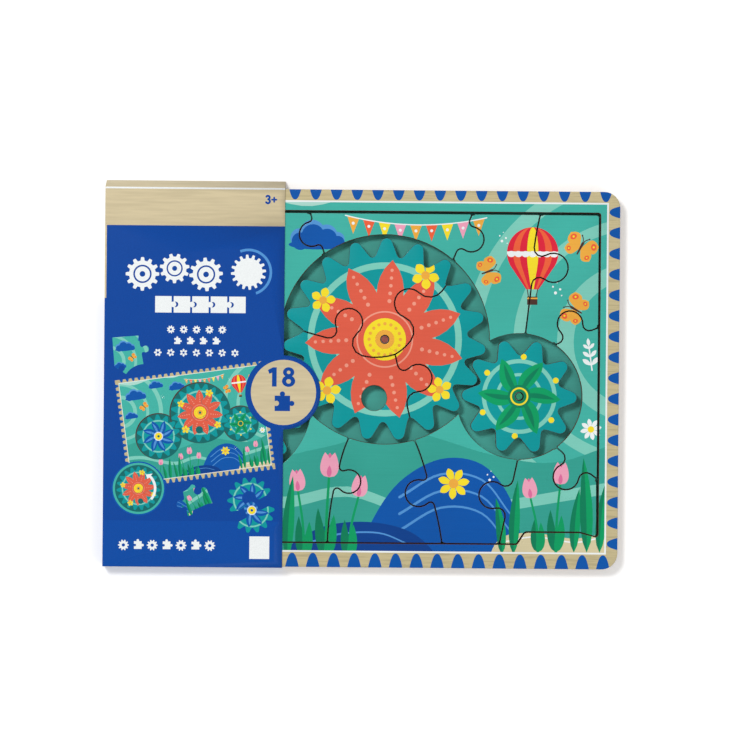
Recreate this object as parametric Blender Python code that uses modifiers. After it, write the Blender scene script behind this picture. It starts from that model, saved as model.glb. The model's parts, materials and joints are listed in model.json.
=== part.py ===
"""Wooden gear puzzle in a tray, half packed in a card sleeve.

The tray is a thin back board with a frame glued round it. Three pegs stand in the back board and
carry three meshing gears, which are jigsaw puzzles themselves. Twelve jigsaw pieces fill the rest
of the frame and leave a round cavity for each gear. A card sleeve caps the tray's left end.

The model lies on its back: +Z is the face of the puzzle, +Y the top of its picture, +X its right.
All sizes are in metres and all angles in radians. Plans are drawn as flat outlines in the tray's
own plane, with z = 0 on the underside of the back board.
"""

import math

import bmesh
import bpy
from mathutils import Vector
from mathutils.bvhtree import BVHTree

# Board stock and how the layers lie on each other
BACK_THICKNESS = 0.0030
STOCK_THICKNESS = 0.0087
LAYER_GAP = 0.0003

# Gear train: one tooth size, and the tooth counts of the three gears
TOOTH_MODULE = 0.00784
CENTRE_TEETH = 19
LEFT_TEETH = 14
RIGHT_TEETH = 10
CENTRE_GEAR_X = 0.0175
CENTRE_GEAR_Y = 0.0307
CENTRE_FIRST_TOOTH = math.radians(89.3)
LEFT_GEAR_BEARING = math.radians(202.2)
RIGHT_GEAR_BEARING = math.radians(-22.5)

# How far the teeth of each gear stand past its pitch circle, and how deep they are cut inside it
CENTRE_ADDENDUM = 0.0045
CENTRE_DEDENDUM = 0.0099
LEFT_ADDENDUM = 0.0041
LEFT_DEDENDUM = 0.0094
RIGHT_ADDENDUM = 0.0057
RIGHT_DEDENDUM = 0.0070
TOOTH_TIP_ROUND = 0.0048
TOOTH_VALLEY_ROUND = 0.0028

# Room between each gear's tooth tips and the wall of its cavity
CENTRE_CAVITY_ROOM = 0.0026
LEFT_CAVITY_ROOM = 0.0045
RIGHT_CAVITY_ROOM = 0.0041

# Pegs and holes
PEG_RADIUS = 0.0027
PEG_PLAY = 0.0007
PEG_GLUE_GAP = 0.0003
PEG_RECESS = 0.0005
PEG_TOP_CHAMFER = 0.0004
FINGER_HOLE_RADIUS = 0.0099
FINGER_HOLE_THROW = 0.0464
FINGER_HOLE_BEARING = math.radians(-99.8)

# Wood left between the cavities and the edges of the frame's opening
LAND_LEFT = 0.0189
LAND_RIGHT = 0.0132
LAND_TOP = 0.0180
LAND_BOTTOM = 0.0771

# Frame
RIM_SIDE = 0.0153
RIM_TOP = 0.0167
RIM_BOTTOM = 0.0190
TRAY_CORNER_RADIUS = 0.0125
OPENING_CORNER_RADIUS = 0.0020
TAB_LENGTH = 0.0630
TAB_RISE = 0.0096
TAB_SLOPE_RUN = 0.0061
TAB_SHOULDER_RUN = 0.0141
TAB_SHOULDER_DROP = 0.0037
TAB_ROUND = 0.0045

# Fit of the pieces in the frame and against each other; they lean towards the bottom left
FIT_LEFT = 0.0005
FIT_RIGHT = 0.0012
FIT_TOP = 0.0016
FIT_BOTTOM = 0.0005
KERF = 0.0007
KERF_FLARE = 0.0017
GEAR_KERF_FLARE = 0.0010

# Head radius of a usual knob; the shape of every knob is given in shares of it
KNOB_HEAD = 0.0100

# The centre gear's three cuts meet in one point beside the hub and end in valleys between teeth
CENTRE_JOINT_THROW = 0.0142
CENTRE_JOINT_BEARING = math.radians(-55)
CENTRE_LEFT_VALLEY = 4
CENTRE_RIGHT_VALLEY = -3
CENTRE_LOWER_VALLEY = -9

# The left gear's cut runs from valley to valley
LEFT_GEAR_FIRST_VALLEY = 6
LEFT_GEAR_LAST_VALLEY = -2

# How far beside its gear's centre each cut round the board meets the edge of the block
TOP_LEFT_RUN = -0.0589
TOP_MIDDLE_RUN = 0.0672
TOP_RIGHT_RUN = 0.0152
RIGHT_UPPER_RUN = 0.0540
RIGHT_LOWER_RUN = -0.0636
BOTTOM_RIGHT_RUN = -0.0145
BOTTOM_MIDDLE_RUN = 0.0458
BOTTOM_LEFT_RUN = -0.0433
HIDDEN_BOTTOM_RUN = 0.0060
HIDDEN_LOWER_RUN = -0.0440
HIDDEN_UPPER_RUN = 0.0620
HIDDEN_TOP_RUN = -0.0060

# Where each of these cuts leaves its gear's cavity
TOP_LEFT_BEARING = math.radians(125.6)
TOP_MIDDLE_BEARING = math.radians(49.8)
TOP_RIGHT_BEARING = math.radians(84.8)
RIGHT_UPPER_BEARING = math.radians(55.7)
RIGHT_LOWER_BEARING = math.radians(-53.6)
BOTTOM_RIGHT_BEARING = math.radians(-90.9)
BOTTOM_MIDDLE_BEARING = math.radians(-73.0)
BOTTOM_LEFT_BEARING = math.radians(-109.6)
HIDDEN_BOTTOM_BEARING = math.radians(-80)
HIDDEN_LOWER_BEARING = math.radians(-152)
HIDDEN_UPPER_BEARING = math.radians(143)
HIDDEN_TOP_BEARING = math.radians(88)

# Card sleeve
CARD_THICKNESS = 0.0006
SLEEVE_PLAY = 0.0003
SLEEVE_COVER = 0.1390
SLEEVE_BACK_RISE = 0.0060
SLEEVE_DISC_RADIUS = 0.0288
SLEEVE_DISC_DROP = 0.0113

# Fineness of the round shapes
CAVITY_SIDES = 108
HOLE_SIDES = 28
TIP_STEPS = 6
VALLEY_STEPS = 3
HEAD_STEPS = 7
FILLET_STEPS = 4
BEND_STEPS = 5
CORNER_STEPS = 8
DISC_STEPS = 40
FLARE_SHARES = (0.1, 0.3, 0.6, 1.0)

WELD_DISTANCE = 0.000001
CUTTER_OVERSHOOT = 0.0010
EMPTY_SIZE = 0.0100

# Points that tell the loose pieces apart: how far in from the frame, and where on a gear
SEED_INSET = 0.0060
SEED_THROW_SHARE = 0.85
CENTRE_PIECE_BEARINGS = {
    "centre_gear_hub_piece": math.radians(100),
    "centre_gear_right_piece": math.radians(-10),
    "centre_gear_finger_piece": math.radians(-150),
}
LEFT_PIECE_BEARINGS = {
    "left_gear_crescent_piece": math.radians(98),
    "left_gear_hub_piece": math.radians(-82),
}

# Main colour and roughness of each finish
CAVITY_PRINT = ((0.30, 0.58, 0.50), 0.55)
BARE_WOOD = ((0.78, 0.72, 0.58), 0.45)
PEG_WOOD = ((0.72, 0.58, 0.38), 0.60)
CENTRE_GEAR_PRINT = ((0.0, 0.36, 0.36), 0.40)
LEFT_GEAR_PRINT = ((0.02, 0.33, 0.42), 0.40)
RIGHT_GEAR_PRINT = ((0.0, 0.38, 0.36), 0.40)
BOARD_PRINT = ((0.10, 0.47, 0.40), 0.45)
BLUE_BOARD_PRINT = ((0.0, 0.10, 0.45), 0.45)
BLUE_BOARD_PIECES = ("bottom_middle_piece", "bottom_right_middle_piece")
CARD_PRINT = ((0.0, 0.06, 0.33), 0.35)

STOCK_BOTTOM = BACK_THICKNESS + LAYER_GAP
STOCK_TOP = STOCK_BOTTOM + STOCK_THICKNESS
PEG_HOLE_RADIUS = PEG_RADIUS + PEG_PLAY


def polar(radius, bearing):
    """The flat point at a distance and a bearing from the origin."""
    return Vector((radius * math.cos(bearing), radius * math.sin(bearing)))


class Gear:
    """A gear's teeth, its place in the tray, and the round cavity it turns in."""

    def __init__(self, teeth, centre, first_tooth, addendum, dedendum, cavity_room):
        self.teeth = teeth
        self.centre = centre
        self.first_tooth = first_tooth
        self.tooth_step = 2 * math.pi / teeth
        self.pitch_radius = TOOTH_MODULE * teeth / 2
        self.tip_radius = self.pitch_radius + addendum
        self.root_radius = self.pitch_radius - dedendum
        self.cavity_radius = self.tip_radius + cavity_room

    def valley(self, index):
        """The bottom of the valley after the tooth of that index, from the gear's own centre."""
        return polar(self.root_radius, self.first_tooth + (index + 0.5) * self.tooth_step)

    def on_cavity(self, bearing):
        """A point on the cavity's wall, in the tray's plane."""
        return self.centre + polar(self.cavity_radius, bearing)


def meshed_gear(driver, teeth, bearing, addendum, dedendum, cavity_room):
    """A gear that meshes with the driver, which lies at that bearing from the driver's centre."""
    distance = TOOTH_MODULE * (driver.teeth + teeth) / 2
    nearest = round((bearing - driver.first_tooth) / driver.tooth_step)
    ahead = driver.first_tooth + nearest * driver.tooth_step - bearing
    facing_valley = bearing + math.pi - ahead * driver.teeth / teeth
    first_tooth = facing_valley + math.pi / teeth
    centre = driver.centre + polar(distance, bearing)
    return Gear(teeth, centre, first_tooth, addendum, dedendum, cavity_room)


CENTRE_GEAR = Gear(
    CENTRE_TEETH, Vector((CENTRE_GEAR_X, CENTRE_GEAR_Y)), CENTRE_FIRST_TOOTH,
    CENTRE_ADDENDUM, CENTRE_DEDENDUM, CENTRE_CAVITY_ROOM,
)
LEFT_GEAR = meshed_gear(
    CENTRE_GEAR, LEFT_TEETH, LEFT_GEAR_BEARING, LEFT_ADDENDUM, LEFT_DEDENDUM, LEFT_CAVITY_ROOM
)
RIGHT_GEAR = meshed_gear(
    CENTRE_GEAR, RIGHT_TEETH, RIGHT_GEAR_BEARING, RIGHT_ADDENDUM, RIGHT_DEDENDUM, RIGHT_CAVITY_ROOM
)

# The frame's opening, the tray's outline and the block of pieces follow the gears
OPENING_LEFT = LEFT_GEAR.centre.x - LEFT_GEAR.cavity_radius - LAND_LEFT
OPENING_RIGHT = RIGHT_GEAR.centre.x + RIGHT_GEAR.cavity_radius + LAND_RIGHT
OPENING_TOP = CENTRE_GEAR.centre.y + CENTRE_GEAR.cavity_radius + LAND_TOP
OPENING_BOTTOM = CENTRE_GEAR.centre.y - CENTRE_GEAR.cavity_radius - LAND_BOTTOM
TRAY_LEFT = OPENING_LEFT - RIM_SIDE
TRAY_RIGHT = OPENING_RIGHT + RIM_SIDE
TRAY_TOP = OPENING_TOP + RIM_TOP
TRAY_BOTTOM = OPENING_BOTTOM - RIM_BOTTOM
PIECES_LEFT = OPENING_LEFT + FIT_LEFT
PIECES_RIGHT = OPENING_RIGHT - FIT_RIGHT
PIECES_TOP = OPENING_TOP - FIT_TOP
PIECES_BOTTOM = OPENING_BOTTOM + FIT_BOTTOM

# The sleeve's outer faces
SLEEVE_WALL = SLEEVE_PLAY + CARD_THICKNESS
SLEEVE_LEFT = TRAY_LEFT - SLEEVE_WALL
SLEEVE_RIGHT = TRAY_LEFT + SLEEVE_COVER
SLEEVE_TOP = TRAY_TOP + SLEEVE_WALL
SLEEVE_BOTTOM = TRAY_BOTTOM - SLEEVE_WALL
SLEEVE_FRONT = STOCK_TOP + SLEEVE_WALL
SLEEVE_BACK = -SLEEVE_WALL


def arc(centre, radius, start, end, steps):
    """Points along a round stretch, both ends included."""
    return [centre + polar(radius, start + (end - start) * i / steps) for i in range(steps + 1)]


def circle(centre, radius, sides):
    """The corners of a round outline."""
    return arc(centre, radius, 0, 2 * math.pi, sides)[:-1]


def rounded_outline(corners):
    """A closed outline through corners given anticlockwise as x, y and the radius there."""
    points = []
    for i, (x, y, radius) in enumerate(corners):
        corner = Vector((x, y))
        before = (Vector(corners[i - 1][:2]) - corner).normalized()
        after = (Vector(corners[(i + 1) % len(corners)][:2]) - corner).normalized()
        half_angle = before.angle(after) / 2
        bisector = (before + after).normalized()
        centre = corner + bisector * radius / math.sin(half_angle)
        first = corner + before * radius / math.tan(half_angle) - centre
        last = corner + after * radius / math.tan(half_angle) - centre
        start = math.atan2(first.y, first.x)
        turn = math.atan2(first.cross(last), first.dot(last))
        points += arc(centre, radius, start, start + turn, CORNER_STEPS)
    return points


def tray_outline():
    """The outside of the back board and of the frame."""
    radius = TRAY_CORNER_RADIUS
    return rounded_outline([
        (TRAY_LEFT, TRAY_BOTTOM, radius),
        (TRAY_RIGHT, TRAY_BOTTOM, radius),
        (TRAY_RIGHT, TRAY_TOP, radius),
        (TRAY_LEFT, TRAY_TOP, radius),
    ])


def opening_outline(left, right, bottom, top, tab_room):
    """A rectangle with a step at its bottom right, where the frame's raised tab reaches in."""
    tab_start = OPENING_RIGHT - TAB_LENGTH - tab_room
    tab_top = OPENING_BOTTOM + TAB_RISE + tab_room
    return rounded_outline([
        (left, bottom, OPENING_CORNER_RADIUS),
        (tab_start, bottom, OPENING_CORNER_RADIUS),
        (tab_start + TAB_SLOPE_RUN, tab_top, TAB_ROUND),
        (OPENING_RIGHT - TAB_SHOULDER_RUN, tab_top, TAB_ROUND),
        (right, tab_top - TAB_SHOULDER_DROP, OPENING_CORNER_RADIUS),
        (right, top, OPENING_CORNER_RADIUS),
        (left, top, OPENING_CORNER_RADIUS),
    ])


def gear_outline(gear):
    """Round-topped teeth whose straight flanks touch the round valleys between them."""
    points = []
    for index in range(gear.teeth):
        bearing = gear.first_tooth + index * gear.tooth_step
        valley_bearing = bearing + gear.tooth_step / 2
        tip = polar(gear.tip_radius - TOOTH_TIP_ROUND, bearing)
        valley = polar(gear.root_radius + TOOTH_VALLEY_ROUND, valley_bearing)
        across = valley - tip
        lean = math.acos((TOOTH_TIP_ROUND + TOOTH_VALLEY_ROUND) / across.length)
        flank = math.atan2(across.y, across.x) - lean
        flank += 2 * math.pi * round((bearing - flank) / (2 * math.pi))
        flank_end = flank + math.pi
        valley_end = 2 * (valley_bearing + math.pi) - flank_end
        points += arc(tip, TOOTH_TIP_ROUND, 2 * bearing - flank, flank, TIP_STEPS)
        points += arc(valley, TOOTH_VALLEY_ROUND, flank_end, valley_end, VALLEY_STEPS)
    return points


class Knob:
    """The knob of one jigsaw cut, placed from the middle of the straight line between its ends.

    Along runs towards the cut's end and aside to its left. The lead comes in from the start and
    the tail goes out to the end; each has a level beside the line and a rounding into the neck.
    All are given in shares of a usual knob's head radius.
    """

    def __init__(self, along, aside, radius, rounds=(0.5, 0.5), levels=(0.0, 0.0)):
        self.along = along * KNOB_HEAD
        self.aside = aside * KNOB_HEAD
        self.radius = radius * KNOB_HEAD
        self.rounds = [share * KNOB_HEAD for share in rounds]
        self.levels = [share * KNOB_HEAD for share in levels]


# Knobs of the centre gear's three cuts
CENTRE_LEFT_KNOB = Knob(-0.37, 1.55, 1.07, rounds=(0.6, 1.0), levels=(-0.05, -0.73))
CENTRE_RIGHT_KNOB = Knob(0.45, 1.50, 1.13, rounds=(1.2, 1.2), levels=(-0.34, 0.0))
CENTRE_LOWER_KNOB = Knob(-0.36, 1.35, 1.06, rounds=(0.5, 0.9))

# Knob of the left gear's cut: the hub piece reaches up between the crescent's two noses
LEFT_GEAR_KNOB = Knob(0.0, 1.50, 1.80, rounds=(0.7, 0.7))

# Knobs of the cuts round the board
TOP_LEFT_KNOB = Knob(-0.08, -0.44, 0.96, rounds=(0.3, 0.3))
TOP_MIDDLE_KNOB = Knob(-0.10, 0.70, 0.98, rounds=(0.4, 0.4))
TOP_RIGHT_KNOB = Knob(-0.70, 1.53, 1.14, rounds=(0.6, 0.6), levels=(-0.15, 0.0))
RIGHT_UPPER_KNOB = Knob(-0.12, 1.10, 0.99)
RIGHT_LOWER_KNOB = Knob(0.0, -1.35, 1.00, rounds=(0.6, 0.6))
BOTTOM_RIGHT_KNOB = Knob(-0.22, -1.33, 1.05, rounds=(0.6, 0.6))
BOTTOM_MIDDLE_KNOB = Knob(-0.06, -0.75, 1.05, rounds=(0.3, 0.3), levels=(0.21, 0.19))
BOTTOM_LEFT_KNOB = Knob(-0.81, 0.70, 0.92, rounds=(0.3, 0.3), levels=(-0.27, -0.34))
HIDDEN_BOTTOM_KNOB = Knob(0.0, -1.20, 1.00)
HIDDEN_LOWER_KNOB = Knob(0.0, 0.80, 0.85, rounds=(0.3, 0.3))
HIDDEN_UPPER_KNOB = Knob(0.0, -0.80, 0.85, rounds=(0.3, 0.3))
HIDDEN_TOP_KNOB = Knob(0.0, 1.30, 1.00)


def half_cut(knob, half_length, way):
    """One half of a jigsaw cut, from its end to the top of its knob, in the cut's own axes."""
    index = 0 if way < 0 else 1
    side = math.copysign(1, knob.aside)
    level = knob.levels[index] * side
    fillet = knob.rounds[index]
    reach = abs(knob.aside) - level - fillet
    spread = math.sqrt((knob.radius + fillet) ** 2 - reach ** 2)
    neck = math.atan2(reach, spread)
    foot = spread + way * knob.along
    points = []
    for step in range(BEND_STEPS):
        share = 1 - step / BEND_STEPS
        points.append(Vector((foot + (half_length - foot) * share, level * (1 - share ** 2))))
    points += arc(Vector((foot, level + fillet)), fillet, 1.5 * math.pi, math.pi - neck, FILLET_STEPS)
    head_centre = Vector((way * knob.along, abs(knob.aside)))
    points += arc(head_centre, knob.radius, -neck, math.pi / 2, HEAD_STEPS)[1:]
    return [Vector((way * point.x, side * point.y)) for point in points]


def jigsaw_cut(start, end, knob):
    """The line of a cut with one knob, from start to end."""
    along = (end - start).normalized()
    aside = Vector((-along.y, along.x))
    middle = (start + end) / 2
    half_length = (end - start).length / 2
    lead = half_cut(knob, half_length, -1)
    tail = half_cut(knob, half_length, 1)
    local = lead + tail[-2::-1]
    return [middle + along * point.x + aside * point.y for point in local]


def refined(path, distances):
    """The path with extra points at those distances from its start."""
    points = [path[0]]
    travelled = 0.0
    for before, after in zip(path, path[1:]):
        length = (after - before).length
        for distance in distances:
            if travelled < distance < travelled + length:
                points.append(before.lerp(after, (distance - travelled) / length))
        points.append(after)
        travelled += length
    return points


def flare_width(distance, radius):
    """How far half a kerf widens near an end whose two corners are rounded."""
    inward = max(0.0, radius - distance)
    return radius - math.sqrt(radius ** 2 - inward ** 2)


def kerf_outline(path, start_flare, end_flare):
    """The closed outline that a saw cut of the kerf's width clears along a path.

    An end with a flare opens into rounded corners and runs on past the edge it cuts. An end
    without one stops half a kerf past its point, where other cuts meet it.
    """
    for flare in (start_flare, end_flare):
        path = refined(path, [flare * share for share in FLARE_SHARES])
        path.reverse()
    distances = [0.0]
    for before, after in zip(path, path[1:]):
        distances.append(distances[-1] + (after - before).length)
    half_widths = []
    for distance in distances:
        flare = flare_width(distance, start_flare) + flare_width(distances[-1] - distance, end_flare)
        half_widths.append(KERF / 2 + flare)
    start_run = (path[0] - path[1]).normalized() * (CUTTER_OVERSHOOT if start_flare else KERF / 2)
    end_run = (path[-1] - path[-2]).normalized() * (CUTTER_OVERSHOOT if end_flare else KERF / 2)
    path = [path[0] + start_run] + path + [path[-1] + end_run]
    half_widths = [half_widths[0]] + half_widths + [half_widths[-1]]
    left = []
    right = []
    for i, point in enumerate(path):
        direction = (path[min(i + 1, len(path) - 1)] - path[max(i - 1, 0)]).normalized()
        aside = Vector((-direction.y, direction.x)) * half_widths[i]
        left.append(point + aside)
        right.append(point - aside)
    return right + left[::-1]


def new_collection(name):
    """An empty collection in the scene."""
    collection = bpy.data.collections.new(name)
    bpy.context.scene.collection.children.link(collection)
    return collection


def new_empty(name, location, parent, collection):
    """An empty that carries other objects."""
    empty = bpy.data.objects.new(name, None)
    empty.empty_display_size = EMPTY_SIZE
    empty.location = location
    empty.parent = parent
    collection.objects.link(empty)
    return empty


def finish(thing, colour, roughness):
    """Give an object a material of its own in its main colour."""
    material = bpy.data.materials.new(thing.name)
    material.use_nodes = True
    shader = material.node_tree.nodes["Principled BSDF"]
    shader.inputs["Base Color"].default_value = (*colour, 1.0)
    shader.inputs["Roughness"].default_value = roughness
    shader.inputs["Metallic"].default_value = 0.0
    thing.data.materials.clear()
    thing.data.materials.append(material)


def evaluated_mesh(thing):
    """A mesh of an object with its modifiers applied and its loose edges welded."""
    bpy.context.view_layer.update()
    graph = bpy.context.evaluated_depsgraph_get()
    mesh = bpy.data.meshes.new_from_object(thing.evaluated_get(graph))
    sheet = bmesh.new()
    sheet.from_mesh(mesh)
    bmesh.ops.remove_doubles(sheet, verts=sheet.verts, dist=WELD_DISTANCE)
    bmesh.ops.recalc_face_normals(sheet, faces=sheet.faces)
    sheet.to_mesh(mesh)
    sheet.free()
    return mesh


def new_prism(name, outlines, bottom, top, parent, collection):
    """A board of even thickness with a flat outline; outlines inside the first one are holes."""
    curve = bpy.data.curves.new(name, "CURVE")
    curve.dimensions = "2D"
    curve.fill_mode = "BOTH"
    curve.extrude = (top - bottom) / 2
    for outline in outlines:
        spline = curve.splines.new("POLY")
        spline.points.add(len(outline) - 1)
        for spline_point, point in zip(spline.points, outline):
            spline_point.co = (point.x, point.y, 0, 1)
        spline.use_cyclic_u = True
    drawing = bpy.data.objects.new(name, curve)
    drawing.location.z = (top + bottom) / 2
    drawing.parent = parent
    collection.objects.link(drawing)
    mesh = evaluated_mesh(drawing)
    bpy.data.objects.remove(drawing)
    board = bpy.data.objects.new(name, mesh)
    board.location.z = (top + bottom) / 2
    board.parent = parent
    collection.objects.link(board)
    return board


def new_kerf(name, path, start_flare, end_flare, parent, collection):
    """A cutter along one jigsaw line, through the whole thickness of the stock."""
    outline = kerf_outline(path, start_flare, end_flare)
    bottom = STOCK_BOTTOM - CUTTER_OVERSHOOT
    top = STOCK_TOP + CUTTER_OVERSHOOT
    kerf = new_prism(name, [outline], bottom, top, parent, collection)
    return as_cutter(kerf)


def as_cutter(thing):
    """Show a cutter as wire and keep it out of renders."""
    thing.hide_render = True
    thing.display_type = "WIRE"
    return thing


def loose_islands(whole):
    """One mesh for each separate body in a mesh."""
    unvisited = set(whole.verts)
    groups = []
    while unvisited:
        front = [unvisited.pop()]
        group = set(front)
        while front:
            for edge in front.pop().link_edges:
                for vertex in edge.verts:
                    if vertex in unvisited:
                        unvisited.remove(vertex)
                        group.add(vertex)
                        front.append(vertex)
        groups.append({vertex.index for vertex in group})
    islands = []
    for group in groups:
        island = whole.copy()
        island.verts.ensure_lookup_table()
        others = [vertex for vertex in island.verts if vertex.index not in group]
        bmesh.ops.delete(island, geom=others, context="VERTS")
        islands.append(island)
    return islands


def cut_into_pieces(blank, cutters, seeds, looks):
    """Cut a blank with every cutter and name each loose piece by a point that lies on it."""
    for cutter in cutters:
        cut = blank.modifiers.new(cutter.name, "BOOLEAN")
        cut.operation = "DIFFERENCE"
        cut.solver = "EXACT"
        cut.object = cutter
    mesh = evaluated_mesh(blank)
    whole = bmesh.new()
    whole.from_mesh(mesh)
    bpy.data.meshes.remove(mesh)
    islands = loose_islands(whole)
    for name, seed in seeds.items():
        above = Vector((seed.x, seed.y, STOCK_THICKNESS))
        for island in islands:
            if BVHTree.FromBMesh(island).ray_cast(above, Vector((0, 0, -1)))[0] is None:
                continue
            piece_mesh = bpy.data.meshes.new(name)
            island.to_mesh(piece_mesh)
            piece = bpy.data.objects.new(name, piece_mesh)
            piece.location = blank.location
            piece.parent = blank.parent
            blank.users_collection[0].objects.link(piece)
            finish(piece, *looks[name])
    whole.free()
    bpy.data.objects.remove(blank)


def remove_all_objects():
    """Empty the scene."""
    for thing in list(bpy.data.objects):
        bpy.data.objects.remove(thing)


def build_tray(origin, parts):
    """The back board with its peg holes, and the frame glued on it."""
    holes = []
    for gear in (LEFT_GEAR, CENTRE_GEAR, RIGHT_GEAR):
        holes.append(circle(gear.centre, PEG_RADIUS + PEG_GLUE_GAP, HOLE_SIDES))
    back = new_prism("tray_back_board", [tray_outline()] + holes, 0, BACK_THICKNESS, origin, parts)
    finish(back, *CAVITY_PRINT)
    opening = opening_outline(OPENING_LEFT, OPENING_RIGHT, OPENING_BOTTOM, OPENING_TOP, 0)
    frame = new_prism("tray_frame", [tray_outline(), opening], STOCK_BOTTOM, STOCK_TOP, origin, parts)
    finish(frame, *BARE_WOOD)


def build_pegs(axles, parts):
    """A wooden peg on each gear's axis, flush with the face of the gears."""
    for name, axle in axles.items():
        length = STOCK_TOP - PEG_RECESS
        bpy.ops.mesh.primitive_cylinder_add(
            vertices=HOLE_SIDES, radius=PEG_RADIUS, depth=length, location=(0, 0, PEG_RECESS + length / 2)
        )
        peg = bpy.context.object
        peg.name = name + "_gear_peg"
        peg.parent = axle
        for collection in peg.users_collection:
            collection.objects.unlink(peg)
        parts.objects.link(peg)
        chamfer = peg.modifiers.new("chamfer", "BEVEL")
        chamfer.width = PEG_TOP_CHAMFER
        chamfer.segments = 1
        chamfer.limit_method = "ANGLE"
        finish(peg, *PEG_WOOD)


def build_centre_gear(axle, parts, cutters):
    """The big gear: three jigsaw pieces that meet beside the hub, one with a finger hole."""
    gear = CENTRE_GEAR
    finger_hole = circle(polar(FINGER_HOLE_THROW, FINGER_HOLE_BEARING), FINGER_HOLE_RADIUS, 2 * HOLE_SIDES)
    peg_hole = circle(Vector((0, 0)), PEG_HOLE_RADIUS, HOLE_SIDES)
    outlines = [gear_outline(gear), peg_hole, finger_hole]
    blank = new_prism("centre_gear_blank", outlines, STOCK_BOTTOM, STOCK_TOP, axle, parts)
    joint = polar(CENTRE_JOINT_THROW, CENTRE_JOINT_BEARING)
    left_line = jigsaw_cut(gear.valley(CENTRE_LEFT_VALLEY), joint, CENTRE_LEFT_KNOB)
    right_line = jigsaw_cut(joint, gear.valley(CENTRE_RIGHT_VALLEY), CENTRE_RIGHT_KNOB)
    lower_line = jigsaw_cut(joint, gear.valley(CENTRE_LOWER_VALLEY), CENTRE_LOWER_KNOB)
    kerfs = [
        new_kerf("centre_gear_left_kerf", left_line, GEAR_KERF_FLARE, 0, axle, cutters),
        new_kerf("centre_gear_right_kerf", right_line, 0, GEAR_KERF_FLARE, axle, cutters),
        new_kerf("centre_gear_lower_kerf", lower_line, 0, GEAR_KERF_FLARE, axle, cutters),
    ]
    throw = SEED_THROW_SHARE * gear.root_radius
    seeds = {name: polar(throw, bearing) for name, bearing in CENTRE_PIECE_BEARINGS.items()}
    looks = {name: CENTRE_GEAR_PRINT for name in seeds}
    cut_into_pieces(blank, kerfs, seeds, looks)


def build_left_gear(axle, parts, cutters):
    """The middle-sized gear: a crescent of eight teeth over a piece that holds the hub."""
    gear = LEFT_GEAR
    peg_hole = circle(Vector((0, 0)), PEG_HOLE_RADIUS, HOLE_SIDES)
    outlines = [gear_outline(gear), peg_hole]
    blank = new_prism("left_gear_blank", outlines, STOCK_BOTTOM, STOCK_TOP, axle, parts)
    first = gear.valley(LEFT_GEAR_FIRST_VALLEY)
    last = gear.valley(LEFT_GEAR_LAST_VALLEY)
    line = jigsaw_cut(first, last, LEFT_GEAR_KNOB)
    kerf = new_kerf("left_gear_kerf", line, GEAR_KERF_FLARE, GEAR_KERF_FLARE, axle, cutters)
    throw = SEED_THROW_SHARE * gear.root_radius
    seeds = {name: polar(throw, bearing) for name, bearing in LEFT_PIECE_BEARINGS.items()}
    looks = {name: LEFT_GEAR_PRINT for name in seeds}
    cut_into_pieces(blank, [kerf], seeds, looks)


def build_right_gear(axle, parts):
    """The small gear, in one piece."""
    peg_hole = circle(Vector((0, 0)), PEG_HOLE_RADIUS, HOLE_SIDES)
    outlines = [gear_outline(RIGHT_GEAR), peg_hole]
    wheel = new_prism("right_gear", outlines, STOCK_BOTTOM, STOCK_TOP, axle, parts)
    finish(wheel, *RIGHT_GEAR_PRINT)


class BoardCut:
    """A cut between a gear's cavity and the edge of the block of pieces."""

    def __init__(self, cavity_end, edge_end, knob, from_edge=False):
        self.cavity_end = cavity_end
        self.edge_end = edge_end
        self.knob = knob
        self.from_edge = from_edge

    def line(self):
        """The cut's line, in the direction that its knob is given for."""
        if self.from_edge:
            return jigsaw_cut(self.edge_end, self.cavity_end, self.knob)
        return jigsaw_cut(self.cavity_end, self.edge_end, self.knob)


def top_cut(gear, bearing, run, knob):
    """A cut from the top edge down to a gear's cavity."""
    edge_end = Vector((gear.centre.x + run, PIECES_TOP))
    return BoardCut(gear.on_cavity(bearing), edge_end, knob, from_edge=True)


def bottom_cut(gear, bearing, run, knob):
    """A cut from a gear's cavity down to the bottom edge."""
    return BoardCut(gear.on_cavity(bearing), Vector((gear.centre.x + run, PIECES_BOTTOM)), knob)


def side_cut(gear, bearing, edge, run, knob):
    """A cut from a gear's cavity out to a side edge."""
    return BoardCut(gear.on_cavity(bearing), Vector((edge, gear.centre.y + run)), knob)


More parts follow.
